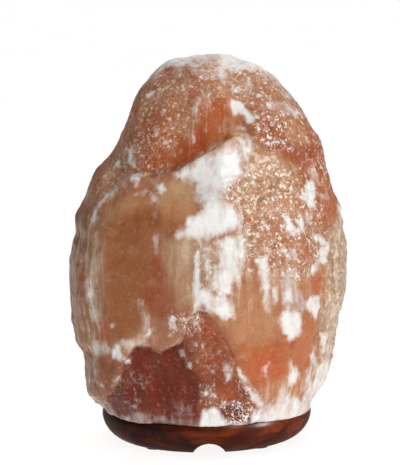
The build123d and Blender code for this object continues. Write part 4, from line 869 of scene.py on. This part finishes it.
def wood_material():
    g = Graph("varnished_wood")
    rings = g.coords((1, 1, 1))
    along = g.coords((0.18, 1.6, 1.6))
    grain = g.noise(along, 90, 6, 0.62, 0.6)
    band = g.noise(along, 22, 3, 0.5, 1.2)
    pores = g.ramp(g.noise(g.coords((0.06, 1, 1)), 900, 2, 0.6), 0.60, 0.72)
    col = g.colors(g.math("ADD", g.math("MULTIPLY", grain, 0.55), g.math("MULTIPLY", band, 0.45)), [
        (0.36, srgb(0.10, 0.03, 0.008)[:3]), (0.50, srgb(0.215, 0.065, 0.015)[:3]), (0.62, srgb(0.36, 0.14, 0.045)[:3])])
    col = g.mix(g.math("MULTIPLY", pores, 0.6), col, srgb(0.09, 0.04, 0.025))
    wear = g.noise(rings, 60, 4, 0.6)
    rough = g.ramp(wear, 0.3, 0.7, 0.30, 0.46)
    nrm = g.bump(grain, 0.12, 0.0006)
    nrm = g.bump(g.noise(rings, 45, 3, 0.5), 0.10, 0.002, nrm)
    edge_on = g.node("ShaderNodeLayerWeight")
    edge_on.inputs["Blend"].default_value = 0.5
    gloss = g.math("MULTIPLY", g.ramp(edge_on.outputs["Facing"], 0.90, 0.20), g.ramp(wear, 0.3, 0.7, 0.26, 0.16))
    return g.finish(Base_Color=col, Roughness=rough, Normal=nrm, Coat_Weight=gloss, Coat_Roughness=0.28, Coat_IOR=1.45,
                    Coat_Normal=nrm, IOR=1.45, Specular_IOR_Level=0.01)


def metal(name, col, rough=0.3, brushed=(1, 1, 1), scale=900):
    g = Graph(name)
    v = g.coords(brushed)
    n = g.noise(v, scale, 4, 0.6)
    m = g.noise(g.coords(), 180, 3, 0.6)
    c = g.colors(m, [(0.35, tuple(x * 0.82 for x in srgb(*col)[:3])), (0.65, srgb(*col)[:3])])
    r = g.ramp(n, 0.3, 0.7, rough * 0.75, rough * 1.35)
    return g.finish(Base_Color=c, Metallic=1.0, Roughness=r, Normal=g.bump(n, 0.08, 0.0002))


def dull(name, col, rough=0.5, scale=400, var=0.12, bump=0.1, **more):
    g = Graph(name)
    v = g.coords()
    n = g.noise(v, scale, 4, 0.6)
    lo = tuple(x * (1 - var) for x in srgb(*col)[:3])
    c = g.colors(g.noise(v, 120, 3), [(0.35, lo), (0.65, srgb(*col)[:3])])
    return g.finish(Base_Color=c, Roughness=g.ramp(n, 0.3, 0.7, rough * 0.85, min(1.0, rough * 1.2)),
                    Normal=g.bump(n, bump, 0.0003), **more)


def glass_material(name, tint=(0.97, 0.98, 0.98)):
    g = Graph(name)
    n = g.noise(g.coords(), 150, 3, 0.5)
    return g.finish(Base_Color=(*tint, 1.0), Roughness=g.ramp(n, 0.3, 0.7, 0.01, 0.05), IOR=1.5, Transmission_Weight=0.95,
                    Normal=g.bump(n, 0.03, 0.0005))


# ---------------------------------------------------------------- crystal
rock = bpy.data.objects.new("salt_rock", crystal_mesh())
bpy.context.scene.collection.objects.link(rock)
cut(rock, turned("bore", [(0, 10), (26, 10), (26, 124), (0, 138)], 128))
for az in (90, 210, 330):
    c = (42 * math.cos(math.radians(az)), 42 * math.sin(math.radians(az)))
    cut(rock, turned("plug_hole", [(0, 10), (4.03, 10), (4.03, 45.1), (0, 45.1)], 32, c))
crystal_marks(rock.data)
rock.data.materials.clear()
rock.data.materials.append(salt_material())
rock.data.polygons.foreach_set("use_smooth", np.ones(len(rock.data.polygons), bool))
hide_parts("salt_crystal")
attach(rock, "lamp")

# ---------------------------------------------------------------- the other pieces
wood = wood_material()
brass = metal("turned_brass", (0.80, 0.63, 0.34), 0.28)
bronze = metal("bronze_strip", (0.74, 0.52, 0.30), 0.32, (1, 12, 1))
zinc = metal("zinc_plate", (0.70, 0.71, 0.72), 0.34)
spring = metal("spring_strip", (0.72, 0.72, 0.73), 0.26, (14, 1, 1))
nickel = metal("nickel_shell", (0.78, 0.77, 0.74), 0.24)
solder = metal("solder", (0.62, 0.62, 0.64), 0.45, scale=500)
wire = metal("drawn_wire", (0.55, 0.52, 0.48), 0.35)
felt = dull("felt", (0.11, 0.09, 0.085), 0.95, 1400, 0.45, 0.6, Sheen_Weight=0.5, Sheen_Roughness=0.6)
plug = dull("plug_plastic", (0.58, 0.58, 0.58), 0.5)
moulding = dull("holder_plastic", (0.90, 0.89, 0.85), 0.38, 700, 0.05, 0.05)
porcelain = dull("porcelain", (0.92, 0.91, 0.88), 0.55, 600, 0.06, 0.08)
vitrite = dull("black_glass", (0.035, 0.035, 0.04), 0.12, 300, 0.3, 0.04)
clear = glass_material("clear_glass")
stem = glass_material("stem_glass", (0.90, 0.93, 0.93))
finish = {
    "wooden_base": wood, "base_screws": zinc, "wall_plugs": plug, "felt_pads": felt, "cord_nipple": brass, "nipple_locknut": brass,
    "spring_clip": spring, "star_washer": zinc, "holder_cap": moulding, "contact_block": porcelain, "holder_sleeve": moulding,
    "screw_shell": brass, "centre_contact": bronze, "shell_terminal": bronze, "terminal_screws": brass, "bulb_tip": solder,
    "bulb_cap": nickel, "cap_insulator": vitrite, "bulb_glass": clear, "glass_stem": stem, "lead_wires": wire, "filament": wire,
}
for name, mat in finish.items():
    me = nodes[name].data
    me.materials.clear()
    me.materials.append(mat)

# ---------------------------------------------------------------- floor and light
# A wide pale floor.
floor = solid_of("floor", [(-14, -14, 0), (14, -14, 0), (14, 14, 0), (-14, 14, 0)], [(0, 1, 2, 3)])
g = Graph("floor_white")
n = g.noise(g.coords(), 6, 3, 0.5)
floor.data.materials.append(g.finish(
    Base_Color=g.colors(n, [(0.3, (0.93, 0.93, 0.93)), (0.7, (0.95, 0.95, 0.95))]), Roughness=0.95, Specular_IOR_Level=0.2))
floor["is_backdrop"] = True
# A plain pale wall far off on all sides, which only the view sees, so that low views show no horizon.
wall = solid_of("wall", [(x, y, z) for z in (-0.01, 14) for x, y in ((-13.9, -13.9), (13.9, -13.9), (13.9, 13.9), (-13.9, 13.9))],
                [(0, 1, 5, 4), (1, 2, 6, 5), (2, 3, 7, 6), (3, 0, 4, 7)])
g = Graph("wall_white")
n = g.noise(g.coords(), 6, 3, 0.5)
wall.data.materials.append(g.finish(
    Base_Color=g.colors(n, [(0.3, (0.93, 0.93, 0.93)), (0.7, (0.95, 0.95, 0.95))]), Roughness=0.95,
    Emission_Color=(1, 1, 1, 1), Emission_Strength=1.0))
wall.visible_diffuse = wall.visible_glossy = wall.visible_transmission = wall.visible_shadow = False
wall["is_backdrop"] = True

bpy.context.scene.view_settings.view_transform = "Standard"
world = bpy.data.worlds.new("world")
bpy.context.scene.world = world
world.use_nodes = True
bg = world.node_tree.nodes["Background"]
bg.inputs["Color"].default_value = (1, 1, 1, 1)
bg.inputs["Strength"].default_value = 0.13


def area(name, loc, size, energy, target=(0, 0, 0.12), color=(1, 1, 1)):
    data = bpy.data.lights.new(name, "AREA")
    data.shape, data.size, data.energy, data.color = "DISK", size, energy, color
    ob = bpy.data.objects.new(name, data)
    bpy.context.scene.collection.objects.link(ob)
    ob.location = loc
    ob.rotation_euler = (Vector(target) - Vector(loc)).to_track_quat("-Z", "Y").to_euler()
    return ob


lamps = [area("key", (0.90, -1.36, 0.90), 0.5, 17.6),
         area("fill", (-1.3, -1.2, 0.5), 0.8, 0.8),
         area("top", (0.2, 0.55, 1.8), 0.9, 12, (0, 0, 0.2)),
         area("back", (0.2, 1.6, 1.0), 1.0, 5, (0, 0.05, 0.15))]
# one lamp for the floor alone, so that it stays pale and even
sun = bpy.data.lights.new("floor_light", "SUN")
sun.energy, sun.angle = 3.05, 0.5
sheet = bpy.data.objects.new("floor_light", sun)
bpy.context.scene.collection.objects.link(sheet)
only_floor = bpy.data.collections.new("floor_only")
only_floor.objects.link(floor)
sheet.light_linking.receiver_collection = only_floor
sheet.light_linking.blocker_collection = only_floor

all_but_floor = bpy.data.collections.new("all_but_floor")
all_but_floor.objects.link(floor)
all_but_floor.collection_objects[0].light_linking.link_state = "EXCLUDE"
for lamp in lamps:
    lamp.light_linking.receiver_collection = all_but_floor
# and a low one beside the wooden base
glow = area("base_light", (1.35, -0.68, 0.46), 0.3, 36, (0.02, 0, 0.01))
only_base = bpy.data.collections.new("base_only")
only_base.objects.link(nodes["wooden_base"])
glow.light_linking.receiver_collection = only_base

as_lists = lambda b: [[float(x) for x in v] for v in b]
{"cad": as_lists(cad_box), "visual": as_lists(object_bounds())}
